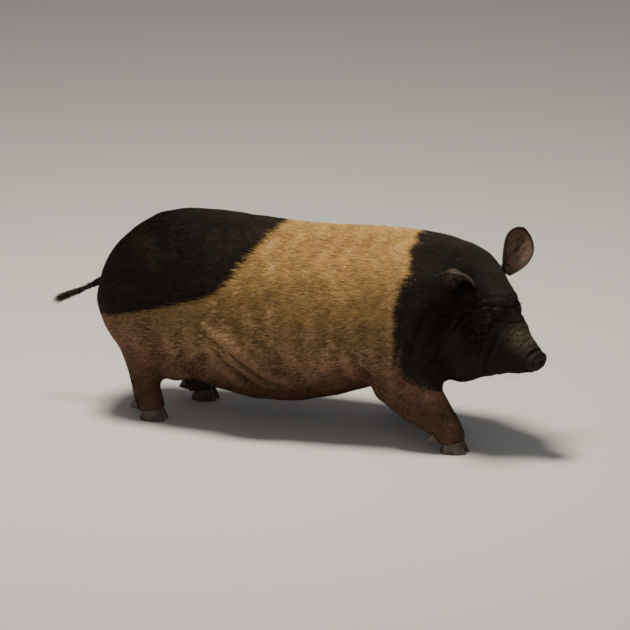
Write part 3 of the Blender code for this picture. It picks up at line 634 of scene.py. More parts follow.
def shape_eye(points, middle, side):
    """Wraps the skin round the eyeball as two lids, and opens the almond between them."""
    look, up, along = eye_axes(side)
    arms = points - middle
    reach = np.linalg.norm(arms, axis=1)
    near = np.flatnonzero((reach < LID_REACH) & (arms @ look > -0.002))
    way = arms[near] / reach[near, None]
    front = np.maximum(way @ look, 0.05)
    across = np.arctan2(way @ along, front) * EYEBALL_RADIUS
    high = np.arctan2(way @ up, front) * EYEBALL_RADIUS
    arch = 1 - (across / LID_HALF_WIDTH) ** 2
    edge = np.where(high > 0, high - UPPER_LID * arch, -high - LOWER_LID * arch)
    outside = np.maximum(edge, np.abs(across) - LID_HALF_WIDTH - 0.002)
    lid = EYEBALL_RADIUS + LID_THICKNESS * (0.75 + 0.25 * np.exp(-((outside - 0.001) / 0.0009) ** 2))
    for rise, place, width in LID_FOLDS:
        lid += rise * np.exp(-((outside - place) / width) ** 2)
    blend = ease(outside, *LID_BLEND)
    target = lid + (reach[near] - lid) * blend
    target = np.where(outside < 0.0001, EYEBALL_RADIUS - SOCKET_DEPTH, target)
    points[near] = middle + way * target[:, None]


# Places as head lengths ahead and up, then width, depth and shoulders: the cheek before the eye, the
# bags under it, the brow, and back over the jowl to the neck.
FACE_FOLDS = (
    (
        ((0.575, 0.120), (0.552, -0.06), (0.548, -0.22), (0.535, -0.34), (0.500, -0.46)),
        0.0042, 0.0036, 0.0016,
    ),
    (((0.600, -0.10), (0.595, -0.20), (0.570, -0.29)), 0.0020, 0.0010, 0.0005),
    (((0.520, 0.115), (0.470, 0.050), (0.390, 0.035), (0.320, 0.075)), 0.0021, 0.0016, 0.0008),
    (((0.560, 0.080), (0.500, -0.010), (0.400, -0.040), (0.300, -0.015)), 0.0030, 0.0012, 0.0007),
    (((0.510, 0.310), (0.450, 0.322), (0.370, 0.315), (0.300, 0.270)), 0.0028, 0.0015, 0.0009),
    (((0.490, 0.385), (0.410, 0.400), (0.320, 0.380)), 0.0030, 0.0009, 0.0006),
    (((0.300, 0.240), (0.230, 0.180), (0.190, 0.080), (0.180, -0.040)), 0.0034, 0.0016, 0.0009),
    (((0.400, -0.090), (0.390, -0.190), (0.350, -0.290)), 0.0055, 0.0011, 0.0006),
    (((0.470, -0.300), (0.380, -0.430), (0.260, -0.520), (0.120, -0.560)), 0.0055, 0.0028, 0.0015),
    (((0.100, -0.160), (0.060, -0.300), (0.040, -0.440), (0.060, -0.560)), 0.0060, 0.0028, 0.0015),
    (((-0.060, 0.200), (-0.110, 0.000), (-0.120, -0.240), (-0.080, -0.460)), 0.0070, 0.0036, 0.0020),
    (((-0.160, 0.420), (-0.250, 0.200), (-0.270, -0.050), (-0.230, -0.300)), 0.0090, 0.0016, 0.0008),
)
# Across the top of snout and brow: head lengths ahead, half length, bow, width and depth.
TOP_WRINKLES = (
    (0.630, 0.13, 0.9, 0.0022, 0.0009), (0.690, 0.15, 0.7, 0.0018, 0.0007),
    (0.742, 0.12, 0.9, 0.0016, 0.0005), (0.800, 0.13, 1.0, 0.0018, 0.0007),
    (0.862, 0.12, 0.8, 0.0018, 0.0009), (0.520, 0.08, 0.6, 0.0028, 0.0008),
    (0.420, 0.13, 0.8, 0.0032, 0.0006), (0.300, 0.17, 0.9, 0.0034, 0.0006),
)
# Places on the body's side, then width and depth: the flank's raised fold, the hollows above, behind and
# below it, the thigh's rise, the elbow and the shoulder. A depth below nought is a rise.
BODY_FOLDS = (
    (
        (
            (-0.205, 0.125, 0.185), (-0.170, 0.126, 0.164), (-0.136, 0.125, 0.142),
            (-0.104, 0.121, 0.122), (-0.076, 0.112, 0.106),
        ),
        0.0110, -0.0120,
    ),
    (
        ((-0.160, 0.126, 0.196), (-0.126, 0.126, 0.176), (-0.092, 0.124, 0.152), (-0.066, 0.122, 0.132)),
        0.011, 0.0052,
    ),
    (
        ((-0.196, 0.118, 0.140), (-0.222, 0.112, 0.120), (-0.240, 0.100, 0.096), (-0.246, 0.090, 0.078)),
        0.013, 0.0085,
    ),
    (((-0.196, 0.114, 0.140), (-0.160, 0.108, 0.114), (-0.124, 0.094, 0.090)), 0.011, 0.0060),
    (((-0.290, 0.112, 0.180), (-0.275, 0.112, 0.150), (-0.268, 0.106, 0.120)), 0.016, -0.0030),
    (((0.045, 0.125, 0.165), (0.052, 0.118, 0.135), (0.070, 0.108, 0.105)), 0.011, 0.0048),
    (((0.132, 0.112, 0.300), (0.123, 0.122, 0.240), (0.127, 0.122, 0.185)), 0.014, 0.0032),
)

hide_tree = tree_of([hide])
points, ways = places(hide), normals(hide)
for side, name in ((-1, "right"), (1, "left")):
    shape_eye(points, np.array(eye_places[name]), side)
put(hide, points)
points, ways = places(hide), normals(hide)
press(points, ways, mouth_path, 0.0010, 0.0024, 0.0007)
for side in (-1, 1):
    for spots, width, depth, shoulder in FACE_FOLDS:
        press(points, ways, side_line(hide_tree, side, spots), width, depth, shoulder)
wrinkle = np.random.default_rng(WRINKLE_SEED)
for ahead, half, bow, width, depth in TOP_WRINKLES:
    shifts = wrinkle.normal(0, WRINKLE_SHIFT, WRINKLE_SPOTS)
    lean = wrinkle.normal(0, WRINKLE_LEAN)
    line = [
        (ahead - bow * left * left + lean * left + shift, left)
        for left, shift in zip(np.linspace(-half, half, WRINKLE_SPOTS), shifts)
    ]
    press(points, ways, top_line(hide_tree, line), width, depth, 0.6 * depth)


def body_line(spots):
    """Places on the body's skin nearest to the given ones."""
    return [np.array(hide_tree.find_nearest(body_origin + Vector(spot))[0]) for spot in spots]


for side in (-1, 1):
    for spots, width, depth in BODY_FOLDS:
        line = body_line([(x, side * y, z) for x, y, z in spots])
        press(points, ways, line, width, depth)
put(hide, points)


def ripple(points, size, seed):
    """Smooth noise between about -1 and 1, as a sum of waves in many directions."""
    draw = np.random.default_rng(seed)
    total = np.zeros(len(points))
    for _ in range(NOISE_WAVES):
        way = draw.normal(size=3)
        way *= math.tau / size * draw.uniform(0.6, 1.7) / np.linalg.norm(way)
        total += np.sin(points @ way + draw.uniform(0, math.tau))
    return total / math.sqrt(NOISE_WAVES)


points = places(hide)
face = face_share(points) * (1 - near_eyes_or_mouth(points))
put(hide, evened(points, edges(hide), 1, 0.4 * face))
points = places(hide)
loose_skin = FINE_WRINKLES * face * ripple(points, 0.007, 51) + LOOSE_SKIN * ripple(points, 0.045, 52)
loose_skin *= 1 - ear_share(points)
put(hide, points + normals(hide) * (loose_skin * ease(points[:, 2], 0.02, 0.06))[:, None])
triangulate_wide_faces(hide)
make_active(hide)
bpy.ops.object.shade_smooth()

# The markings: black over the head, neck and shoulders' front, and over rump and tail, cream between
# them and dusty pink below. Both skin and bristles are coloured by the same rule.
RUMP_EDGE = (
    (0.178, -0.433), (0.184, -0.387), (0.196, -0.328), (0.217, -0.250), (0.240, -0.186),
    (0.268, -0.157), (0.303, -0.131), (0.329, -0.108), (0.345, -0.090), (0.360, -0.078),
)
FRONT_EDGE = (
    (0.085, 0.427), (0.095, 0.215), (0.105, 0.184), (0.117, 0.158), (0.130, 0.142), (0.147, 0.131),
    (0.181, 0.126), (0.224, 0.127), (0.265, 0.134), (0.303, 0.145), (0.341, 0.141),
)
EDGE_SOFTNESS = 0.006
EDGE_RAGGED = 0.0035
EDGE_SEED = 11
RUMP_BOTTOM = (0.181, 0.184)
BELLY_LINE = (0.105, 0.228)
THIGH_AHEAD = (-0.34, -0.19)
THIGH_TOP = (0.14, 0.21)
TAIL_ROOT = (0.434, 0.442)
EAR_RIM = 0.0040


def markings(points):
    """How black and how brown-pink the animal is at each place, from 0 to 1."""
    points = points - np.array(body_origin)
    heights, backs = np.array(RUMP_EDGE).T
    rump = np.interp(points[:, 2], heights, backs) - points[:, 0]
    cut_off = np.minimum(rump, points[:, 2] - RUMP_BOTTOM[1])
    rump = np.where(points[:, 2] < RUMP_BOTTOM[0], cut_off, rump)
    heights, fronts = np.array(FRONT_EDGE).T
    front = points[:, 0] - np.interp(points[:, 2], heights, fronts)
    ragged = 0.6 * ripple(points, 0.05, EDGE_SEED) + 0.4 * ripple(points, 0.016, EDGE_SEED + 1)
    rump = ease(rump + EDGE_RAGGED * ragged, -EDGE_SOFTNESS, EDGE_SOFTNESS)
    front = ease(front + EDGE_RAGGED * ragged, -EDGE_SOFTNESS, EDGE_SOFTNESS)
    black = np.maximum(rump, front)
    low = points[:, 2] + 0.014 * ripple(points, 0.16, 3) - 0.06 * np.abs(points[:, 0] + 0.05)
    pink = 1 - ease(low, *BELLY_LINE)
    thigh = (1 - ease(points[:, 0], *THIGH_AHEAD)) * (1 - 0.6 * ease(points[:, 2], *THIGH_TOP))
    pink = np.maximum(pink, thigh)
    black = np.maximum(black, ease(-points[:, 0], *TAIL_ROOT))
    return black, pink * (1 - black)


def colour_attribute(item, name, colours):
    """Stores one colour for each point of a mesh."""
    layer = item.data.attributes.new(name, "FLOAT_COLOR", "POINT")
    full = np.concatenate([colours, np.ones((len(colours), 1))], axis=1)
    layer.data.foreach_set("color", full.astype(np.float32).ravel())


BLACK_SKIN = np.array((0.0170, 0.0130, 0.0108))
CREAM_SKIN = np.array((0.430, 0.275, 0.140))
PINK_SKIN = np.array((0.190, 0.098, 0.064))
LEG_SKIN = np.array((0.075, 0.040, 0.026))
EAR_LINING = np.array((0.210, 0.128, 0.090))
EAR_BACK = np.array((0.120, 0.095, 0.070))
DUST = np.array((0.125, 0.092, 0.060))
SNOUT_DUST = 0.50
BROW_DUST = 0.02
PAINTED_SHADE_RIGHT_CUP = 0.35
SHANK_HEIGHT = (0.05, 0.15)


def rim_share(points, on_ear):
    """1 on the rims of the ears."""
    share = np.zeros(len(points))
    near = np.flatnonzero(on_ear > 0)
    wide = EAR_COLUMNS + 1
    for side in EARS:
        spots = [np.array(spot) for spot in ear_grid(side)[0]]
        rim = spots[::wide] + spots[-wide:] + spots[wide - 1::wide][::-1]
        reach = gap_to(points[near], rim)[0]
        share[near] = np.maximum(share[near], 1 - ease(reach, 0.3 * EAR_RIM, 1.4 * EAR_RIM))
    return share


def hide_colours(points, on_ear, inside):
    """The skin's colour at each place, with dust on brow and snout and a paler lining in the ears; the right
    ear's cup lining is kept darker as painted shade.
    """
    black, pink = markings(points)
    shank = 1 - ease(points[:, 2], *SHANK_HEIGHT)
    bare = PINK_SKIN + (LEG_SKIN - PINK_SKIN) * shank[:, None]
    tone = CREAM_SKIN + (bare - CREAM_SKIN) * pink[:, None]
    tone = tone * (1 + 0.10 * ripple(points, 0.07, 8) + 0.07 * ripple(points, 0.02, 9))[:, None]
    tone = tone + (BLACK_SKIN - tone) * black[:, None]
    spot = in_head(points)
    on_snout = ease(spot[:, 0], 0.60, 0.72) * ease(spot[:, 2], -0.09, 0.06)
    on_snout *= 1 - ease(spot[:, 0], 0.86, 0.94)
    on_brow = ease(spot[:, 2], 0.2, 0.5) * ease(spot[:, 0], -0.2, 0.1)
    dusty = (SNOUT_DUST * on_snout + BROW_DUST * on_brow) * (0.75 + 0.35 * ripple(points, 0.012, 21))
    dusty = np.clip(dusty + 0.05 * black * (ripple(points, 0.03, 22) > 0.7), 0, 1)
    tone = tone + (DUST - tone) * dusty[:, None]
    lined = on_ear * inside * (0.75 + 0.2 * ripple(points, 0.012, 23)) * (1 - rim_share(points, on_ear))
    # painted shade: the right ear's cup lining is kept darker, as that cup lies in shade
    lined *= np.where(ear_side(points) == 0, PAINTED_SHADE_RIGHT_CUP, 1.0)
    tone = tone + (EAR_BACK - tone) * (0.75 * on_ear * (1 - inside))[:, None]
    return tone + (EAR_LINING - tone) * np.clip(lined, 0, 1)[:, None]


hide_points, hide_ways = places(hide), normals(hide)
hide_ear = ear_share(hide_points)
cup_ways = np.array([head_way(EARS[side][2]).normalized() for side in ("right", "left")])
hide_inside = ease((hide_ways * cup_ways[ear_side(hide_points)]).sum(1), 0.0, 0.5)
colour_attribute(hide, "tone", hide_colours(hide_points, hide_ear, hide_inside))


def feed(tree, socket, value):
    """Sets an input to a value, or joins it to another node's output."""
    if isinstance(value, bpy.types.NodeSocket):
        tree.links.new(value, socket)
    else:
        socket.default_value = value


def node(tree, kind, **inputs):
    """A shader node with its inputs fed by name."""
    made = tree.nodes.new(kind)
    for name, value in inputs.items():
        feed(tree, made.inputs[name.replace("_", " ")], value)
    return made


def maths(tree, operation, *values):
    """A sum or product of values and other nodes' outputs."""
    made = tree.nodes.new("ShaderNodeMath")
    made.operation = operation
    for socket, value in zip(made.inputs, values):
        feed(tree, socket, value)
    return made.outputs["Value"]


def noise(tree, place, scale, detail, roughness=0.5):
    made = node(tree, "ShaderNodeTexNoise", Vector=place, Scale=scale, Detail=detail, Roughness=roughness)
    return made.outputs["Fac"]


def ranged(tree, value, found, wanted):
    """A value that runs over one range, spread over another."""
    made = node(
        tree, "ShaderNodeMapRange", Value=value,
        From_Min=found[0], From_Max=found[1], To_Min=wanted[0], To_Max=wanted[1],
    )
    return made.outputs["Result"]


def ramp(tree, value, stops):
    """Colours along a value, each with its position."""
    made = node(tree, "ShaderNodeValToRGB", Fac=value)
    row = made.color_ramp.elements
    for element, (position, tone) in zip(row, (stops[0], stops[-1])):
        element.position = position
        element.color = (*tone, 1)
    for position, tone in stops[1:-1]:
        row.new(position).color = (*tone, 1)
    return made.outputs["Color"]


def object_place(tree):
    return tree.nodes.new("ShaderNodeTexCoord").outputs["Object"]


def new_material(name, roughness, specular=0.5):
    made = bpy.data.materials.new(name)
    made.use_nodes = True
    shader = made.node_tree.nodes["Principled BSDF"]
    shader.inputs["Roughness"].default_value = roughness
    shader.inputs["Specular IOR Level"].default_value = specular
    return made, made.node_tree, shader


def attribute(tree, name):
    made = tree.nodes.new("ShaderNodeAttribute")
    made.attribute_name = name
    return made


def hide_material():
    """Leathery skin: its marked colour with mottling and grime, fine creases and bristle streaks."""
    made, tree, shader = new_material("pig_hide", 0.62, 0.07)
    place = object_place(tree)
    mottle = noise(tree, place, 55.0, 5.0, 0.65)
    shade = ranged(tree, mottle, (0.3, 0.7), (0.72, 1.22))
    grime = noise(tree, place, 240.0, 3.0, 0.6)
    grain = ranged(tree, grime, (0.35, 0.65), (0.84, 1.12))
    scaled = tree.nodes.new("ShaderNodeVectorMath")
    scaled.operation = "SCALE"
    feed(tree, scaled.inputs[0], attribute(tree, "tone").outputs["Color"])
    feed(tree, scaled.inputs["Scale"], maths(tree, "MULTIPLY", shade, grain))
    feed(tree, shader.inputs["Base Color"], scaled.outputs["Vector"])
    feed(tree, shader.inputs["Roughness"], ranged(tree, mottle, (0.3, 0.7), (0.50, 0.74)))
    stretch = node(tree, "ShaderNodeMapping", Vector=place, Scale=(55.0, 420.0, 420.0))
    streaks = noise(tree, stretch.outputs["Vector"], 1.0, 2.0)
    cells = node(tree, "ShaderNodeTexVoronoi", Vector=place, Scale=560.0)
    cells.feature = "DISTANCE_TO_EDGE"
    crease = ranged(tree, cells.outputs["Distance"], (0.0, 0.12), (0.0, 1.0))
    folds = noise(tree, place, 120.0, 4.0, 0.7)
    bump = None
    for height, strength, distance in (
        (folds, 0.45, 0.0016), (crease, 0.22, 0.0003), (streaks, 0.45, 0.0007),
    ):
        layer = node(tree, "ShaderNodeBump", Height=height, Strength=strength, Distance=distance)
        if bump:
            feed(tree, layer.inputs["Normal"], bump.outputs["Normal"])
        bump = layer
    feed(tree, shader.inputs["Normal"], bump.outputs["Normal"])
    return made


hide.data.materials.clear()
hide.data.materials.append(hide_material())
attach(hide, "root")
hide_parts(*FLESH, "ear_left", "ear_right", "tail")

# The eyes: small wet balls with a dark brown iris, set between the lids. Each is turned out by its own
# look, and its clear front is swelled over iris and pupil.
IRIS_ANGLE = math.radians(40)
FRONT_SWELL = 0.0007


def eye_material():
    """Dark iris with fine rays about a black pupil, and a browned white round it, all wet."""
    made, tree, shader = new_material("wet_eye", 0.07, 0.24)
    shader.inputs["Coat Weight"].default_value = 0.05
    shader.inputs["Coat Roughness"].default_value = 0.02
    rays = noise(tree, object_place(tree), 900.0, 3.0)
    turned = maths(tree, "MULTIPLY_ADD", rays, 0.06, attribute(tree, "turned").outputs["Fac"])
    tones = ramp(tree, turned, (
        (0.16, (0.002, 0.0015, 0.001)), (0.20, (0.026, 0.012, 0.006)), (0.44, (0.016, 0.007, 0.004)),
        (0.50, (0.006, 0.004, 0.003)), (0.62, (0.024, 0.014, 0.010)),
    ))
    feed(tree, shader.inputs["Base Color"], tones)
    return made


wet_eye = eye_material()
for side, name in ((-1, "right"), (1, "left")):
    look = Vector(eye_axes(side)[0])
    deselect()
    bpy.ops.mesh.primitive_uv_sphere_add(segments=48, ring_count=32, radius=EYEBALL_RADIUS)
    ball = bpy.context.object
    ball.name = ball.data.name = "eyeball_" + name
    ball.data.transform(look.to_track_quat("Z", "Y").to_matrix().to_4x4())
    points = places(ball)
    turned = np.arccos(np.clip(points @ np.array(look) / EYEBALL_RADIUS, -1, 1))
    swell = FRONT_SWELL * (1 - ease(turned, 0.5 * IRIS_ANGLE, 1.15 * IRIS_ANGLE))
    points *= (1 + swell / EYEBALL_RADIUS)[:, None]
    put(ball, points + np.array(eye_places[name]))
    layer = ball.data.attributes.new("turned", "FLOAT", "POINT")
    layer.data.foreach_set("value", (turned / (2.2 * IRIS_ANGLE)).astype(np.float32))
    bpy.ops.object.shade_smooth()
    ball.data.materials.append(wet_eye)
    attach(ball, "root")
    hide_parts("eye_" + name)

# The claws: two of dark horn on each foot, sloping in front, with faint growth rings. Two small ones of
# the same horn sit higher up behind. All grow out of the hide of the foot.
CLAW_LENGTH = 0.043
CLAW_WIDTH = 0.0205
CLAW_HEIGHT = 0.0195
CLAW_TURN = math.radians(4)
CLAW_POINTS = 40
CLAW_LEVELS = 14
CLAW_SLOPE = math.radians(9)
CLAW_FRONT_SLOPE = 0.24
CLAW_NARROWING = 0.06
CLAW_EDGE = 0.0006
CLAW_AHEAD = 0.0005
HEEL_BULGE = 0.05
HEEL_SLOPE = 0.10
SOLE_EDGE = 0.035
TOE_NARROWING = 0.30
HORN_RINGS = 6
RING_RISE = 0.010
DEWCLAW_GRID = 0.0009


def horn_material():
    """Dull dark horn: long upright fibres under patches of dried mud."""
    made, tree, shader = new_material("pig_horn", 0.5, 0.4)
    place = object_place(tree)
    stretch = node(tree, "ShaderNodeMapping", Vector=place, Scale=(260.0, 260.0, 60.0))
    fibre = noise(tree, stretch.outputs["Vector"], 1.0, 4.0)
    blend = tree.nodes.new("ShaderNodeMix")
    blend.data_type = "FLOAT"
    blend.inputs["Factor"].default_value = 0.5
    feed(tree, blend.inputs[2], fibre)
    feed(tree, blend.inputs[3], noise(tree, place, 90.0, 5.0))
    tones = ramp(tree, blend.outputs[0], ((0.38, (0.030, 0.022, 0.018)), (0.66, (0.135, 0.098, 0.070))))
    feed(tree, shader.inputs["Base Color"], tones)
    bump = node(tree, "ShaderNodeBump", Height=fibre, Strength=0.5, Distance=0.0004)
    feed(tree, shader.inputs["Normal"], bump.outputs["Normal"])
    return made


def claw_mesh(name, length, width, height):
    """A stack of rings drawn up from a flat sole, then shaped to walls, toe, heel and crown."""
    deselect()
    bpy.ops.mesh.primitive_circle_add(vertices=CLAW_POINTS, radius=1, fill_type="NGON")
    made = bpy.context.object
    made.name = made.data.name = name
    bpy.ops.object.mode_set(mode="EDIT")
    bpy.ops.mesh.select_all(action="SELECT")
    for _ in range(CLAW_LEVELS):
        bpy.ops.mesh.extrude_region_move(TRANSFORM_OT_translate={"value": (0, 0, 1 / CLAW_LEVELS)})
    bpy.ops.mesh.select_all(action="SELECT")
    bpy.ops.mesh.normals_make_consistent(inside=False)
    bpy.ops.object.mode_set(mode="OBJECT")
    points = places(made)
    level = points[:, 2].round(5)
    ahead, aside = points[:, 0], points[:, 1]
    front = length * (0.50 - CLAW_FRONT_SLOPE * level)
    back = length * (-0.50 - HEEL_BULGE * np.sin(math.pi * level) + HEEL_SLOPE * level)
    half_width = width / 2 * (1.0 - CLAW_NARROWING * level ** 2)
    rings = 1 + RING_RISE * np.sin(math.tau * HORN_RINGS * level) * ease(level, 0.05, 0.2)
    foot_edge = 1 - SOLE_EDGE * (1 - ease(level, 0.0, 0.10))
    toe = 1.0 - TOE_NARROWING * np.maximum(0.0, ahead) ** 2
    x = (front + back) / 2 + (front - back) / 2 * ahead * rings * foot_edge
    y = half_width * toe * aside * rings * foot_edge
    z = level * (height + math.tan(CLAW_SLOPE) * x)
    put(made, np.stack([x, y, z], axis=1))
    return made


horn = horn_material()
for foot in ("front_left", "front_right", "hind_left", "hind_right"):
    foot_side = 1 if foot.endswith("left") else -1
    for toe, across in (("inner", -foot_side), ("outer", foot_side)):
        low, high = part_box("claw_" + foot + "_" + toe)
        name = "hoof_" + foot + "_" + toe
        made = claw_mesh(name, CLAW_LENGTH, CLAW_WIDTH, CLAW_HEIGHT)
        made.data.transform(
            Matrix.Translation(((low.x + high.x) / 2 + CLAW_AHEAD, (low.y + high.y) / 2, 0))
            @ Matrix.Rotation(-across * CLAW_TURN, 4, "Z")
        )
        apply(made, "BEVEL", width=CLAW_EDGE, segments=2, limit_method="ANGLE", angle_limit=math.radians(55))
        bpy.ops.object.shade_smooth_by_angle(angle=math.radians(40))
        made.data.materials.append(horn)
        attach(made, "root")
        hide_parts("claw_" + foot + "_" + toe)
        small = link("dewhoof_" + foot + "_" + toe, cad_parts["dewclaw_" + foot + "_" + toe].data.copy())
        merge(small, SAME_PLACE)
        apply(small, "REMESH", mode="VOXEL", voxel_size=DEWCLAW_GRID)
        apply(small, "SMOOTH", factor=0.5, iterations=10)
        bpy.ops.object.shade_smooth()
        small.data.materials.clear()
        small.data.materials.append(horn)
        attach(small, "root")
        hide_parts("dewclaw_" + foot + "_" + toe)

# The bristles: stiff tapering hairs in small tufts, rooted in the hide and lying back along it.
# They are dense on back and rump, short on the face and fewer on belly and legs. Each tuft is a thin
# closed spike of three sides, and the ones that stand free are bent.
SPIKE_FACES = ((0, 2, 1), (0, 1, 3), (1, 2, 3), (2, 0, 3))
SPIKE_PATCH = ((0, 0), (1, 0), (0.5, 0.3), (0.5, 1))
SPIKE_SHADES = (0.60, 0.60, 0.66, 1.12)
BENT_FACES = (
    (0, 2, 1), (0, 1, 4), (0, 4, 3), (1, 2, 5), (1, 5, 4),
    (2, 0, 3), (2, 3, 5), (3, 4, 6), (4, 5, 6), (5, 3, 6),
)
BENT_PATCH = ((0, 0), (1, 0), (0.5, 0.2), (0, 0.5), (1, 0.5), (0.5, 0.6), (0.5, 1))
BENT_SHADES = (0.60, 0.60, 0.66, 0.95, 0.95, 0.98, 1.12)
PATCH = 0.003
ROOT_SUNK = 0.0010
SWERVE = 0.15
STRAY = 0.10
DROOP = 0.12
BACK_SPREAD = 0.04
BACK_DROP = 0.03
FLANK_DROP = 0.07
RUMP_DROP = 0.9
CHEEK_DROP = 0.35
LEG_BACK = 0.35
STREAKED = 0.19
PATCHED = 0.08
TICKED = 0.05
TICKED_MORE = 0.16
SHEEN = 0.28
BROW_DARKER = 0.55
EAR_PALER = 2.8
LINING_PALER = 0.8
PAINTED_SHADE_RIGHT_LINING = 1.4
HEAD_COAT = (-0.10, 0.12)
TRUNK_COAT = (0.02, 0.26)
THROAT = -0.74
RUMP_END = -0.364
BARE_LIDS = (0.0105, 0.0150)
BARE_LIPS = 0.003
CREAM_HAIR = np.array((0.860, 0.540, 0.205))
BLACK_HAIR = np.array((0.0370, 0.0280, 0.0235))
PINK_HAIR = np.array((0.270, 0.148, 0.088))
LEG_HAIR = np.array((0.100, 0.054, 0.032))
TICK_HAIR = np.array((0.110, 0.062, 0.030))
SHEEN_HAIR = np.array((0.130, 0.080, 0.044))
COAT_SEED = 7
LEGS_AHEAD = (0.21, -0.25)
LEGS_ASIDE = 0.07
TRUNK_MIDDLE = 0.19
TAIL_MIDDLE = 0.20

hide.data.calc_loop_triangles()
hide_faces = np.empty(len(hide.data.loop_triangles) * 3, dtype=np.int64)
hide.data.loop_triangles.foreach_get("vertices", hide_faces)
hide_faces = hide_faces.reshape(-1, 3)
hide_corners = hide_points[hide_faces]
hide_tree = tree_of([hide])
spread = np.cross(hide_corners[:, 1] - hide_corners[:, 0], hide_corners[:, 2] - hide_corners[:, 0])
face_area = np.linalg.norm(spread, axis=1)
hide_kd = KDTree(len(hide_points))
for index, point in enumerate(hide_points):
    hide_kd.insert(point, index)
hide_kd.balance()
ear_ways = np.array([head_way(EARS[side][1]).normalized() for side in ("right", "left")])


def flow(points, ways, on_ear):
    """The way the bristles lie: back along the body, down rump and legs, and out along the ears."""
    spot = in_head(points)
    side = np.sign(points[:, 1])
    flank = np.abs(ways[:, 1])
    body = np.stack([-np.ones(len(points)), BACK_SPREAD * side, -BACK_DROP - FLANK_DROP * flank], axis=1)
    leg = np.array((-LEG_BACK, 0, -1))
    low = (1 - ease(points[:, 2], 0.06, 0.15)) * ease(np.abs(points[:, 1]), 0.02, 0.05)
    way = body + (leg - body) * low[:, None]
    way[:, 2] -= RUMP_DROP * (1 - ease(points[:, 0], -0.36, -0.24)) * (1 - low)
    on_head = (ease(spot[:, 0], -0.2, 0.15) * ease(spot[:, 2], -0.75, -0.6))[:, None]
    head = -head_turn[0] - CHEEK_DROP * head_turn[2] * (np.abs(spot[:, 1]) > 0.18)[:, None]
    way = way + (head - way) * on_head
    way = way + (ear_ways[ear_side(points)] - way) * on_ear[:, None]
    way = way + STRAY * np.stack([ripple(points, 0.06, seed) for seed in (61, 62, 63)], axis=1)
    way = way - ways * (way * ways).sum(1)[:, None]
    return way / np.linalg.norm(way, axis=1)[:, None].clip(1e-6)


def coat_colours(points, draw):
    """One colour for each tuft, by the same markings as the skin, streaked along the body, with painted
    shade lower down the body and a painted sheen on top of the rump.
    """
    count = len(points)
    height = points[:, 2]
    black, pink = markings(points + draw.normal(0, 0.0018, points.shape))
    shank = 1 - ease(height, *SHANK_HEIGHT)
    low = PINK_HAIR + (LEG_HAIR - PINK_HAIR) * shank[:, None]
    pale = CREAM_HAIR + (low - CREAM_HAIR) * pink[:, None]
    streak = ripple(points * np.array((0.22, 1, 1)), 0.0042, 31)
    # painted shade: pale hair is darker lower down the body, where less light falls from above
    shade = 0.50 + 0.50 * ease(height, 0.19, 0.33)
    streaked = 1 + PATCHED * ripple(points, 0.05, 32) + STREAKED * streak
    pale = pale * (shade * draw.uniform(0.70, 1.15, count) * streaked)[:, None]
    more = TICKED_MORE * (streak < -0.9) * (1 - ease(height, 0.22, 0.31)) * ease(height, 0.14, 0.20)
    ticked = draw.random(count) < TICKED + more
    pale = np.where(ticked[:, None], TICK_HAIR * draw.uniform(0.6, 1.6, count)[:, None], pale)
    # painted sheen: lighter brown patches on the black hair over the top of the hind half, where the light
    # falls
    sheen = SHEEN * ease(ripple(points, 0.11, 33), 0.3, 1.2) * ease(height, 0.24, 0.33) * (points[:, 0] < 0)
    dark = BLACK_HAIR + (SHEEN_HAIR - BLACK_HAIR) * sheen[:, None]
    on_brow = ease(in_head(points)[:, 0], -0.2, 0.1) * ease(in_head(points)[:, 2], -0.40, 0.15)
    dark = dark * (draw.uniform(0.5, 1.9, count) * (1 - BROW_DARKER * on_brow))[:, None]
    return np.where(black[:, None] > draw.uniform(0.35, 0.65, count)[:, None], dark, pale)


def hair_material():
    """Stiff bristle with a soft sheen; each tuft carries its own colour."""
    made, tree, shader = new_material("pig_bristle", 0.60, 0.05)
    tree.links.new(attribute(tree, "tone").outputs["Color"], shader.inputs["Base Color"])
    return made


bristle = hair_material()


def unwrapped(points, region, inside):
    """The skin laid flat: round the trunk, the tail or each leg and along it, or each side of the ears."""
    if region == "legs":
        leg = (points[:, 0] > 0).astype(float) * 2 + (points[:, 1] > 0)
        from_ahead = points[:, 0] - np.where(points[:, 0] > 0, *LEGS_AHEAD)
        from_side = points[:, 1] - np.sign(points[:, 1]) * LEGS_ASIDE
        turn = np.arctan2(from_side, from_ahead) / math.tau + 0.5
        flat = np.stack([(leg + turn) / 4, points[:, 2]], axis=1)
    elif region == "head":
        spot = in_head(points)
        flat = np.stack([spot[:, 0], np.arctan2(spot[:, 1], spot[:, 2])], axis=1)
    elif region == "ears":
        spot = in_head(points)
        leaf = ear_side(points) * 2 + (inside > 0.5)
        across = np.clip((spot[:, 0] - 0.15) / 0.6 + 0.5, 0, 1)
        flat = np.stack([(leaf + across) / 4, np.hypot(spot[:, 1], spot[:, 2])], axis=1)
    else:
        middle = np.where(points[:, 0] < -0.37, TAIL_MIDDLE, TRUNK_MIDDLE)
        flat = np.stack([points[:, 0], np.arctan2(points[:, 1], points[:, 2] - middle)], axis=1)
    low, high = flat.min(0), flat.max(0)
    return 0.01 + 0.975 * (flat - low) / (high - low)


def as_mesh(name, points, faces):
    """A mesh of triangles from arrays."""
    mesh = bpy.data.meshes.new(name)
    mesh.vertices.add(len(points))
    mesh.vertices.foreach_set("co", points.ravel())
    mesh.loops.add(faces.size)
    mesh.loops.foreach_set("vertex_index", faces.ravel())
    mesh.polygons.add(len(faces))
    mesh.polygons.foreach_set("loop_start", np.arange(0, faces.size, 3))
    mesh.polygons.foreach_set("loop_total", np.full(len(faces), 3))
    mesh.update(calc_edges=True)
    return link(name, mesh)


def laid_on_hide(spots, rise):
    """The places on the hide nearest to these, raised off it."""
    found = [hide_tree.find_nearest(spot) for spot in spots]
    return np.array([hit[0] for hit in found]) + np.array([hit[1] for hit in found]) * rise[:, None]


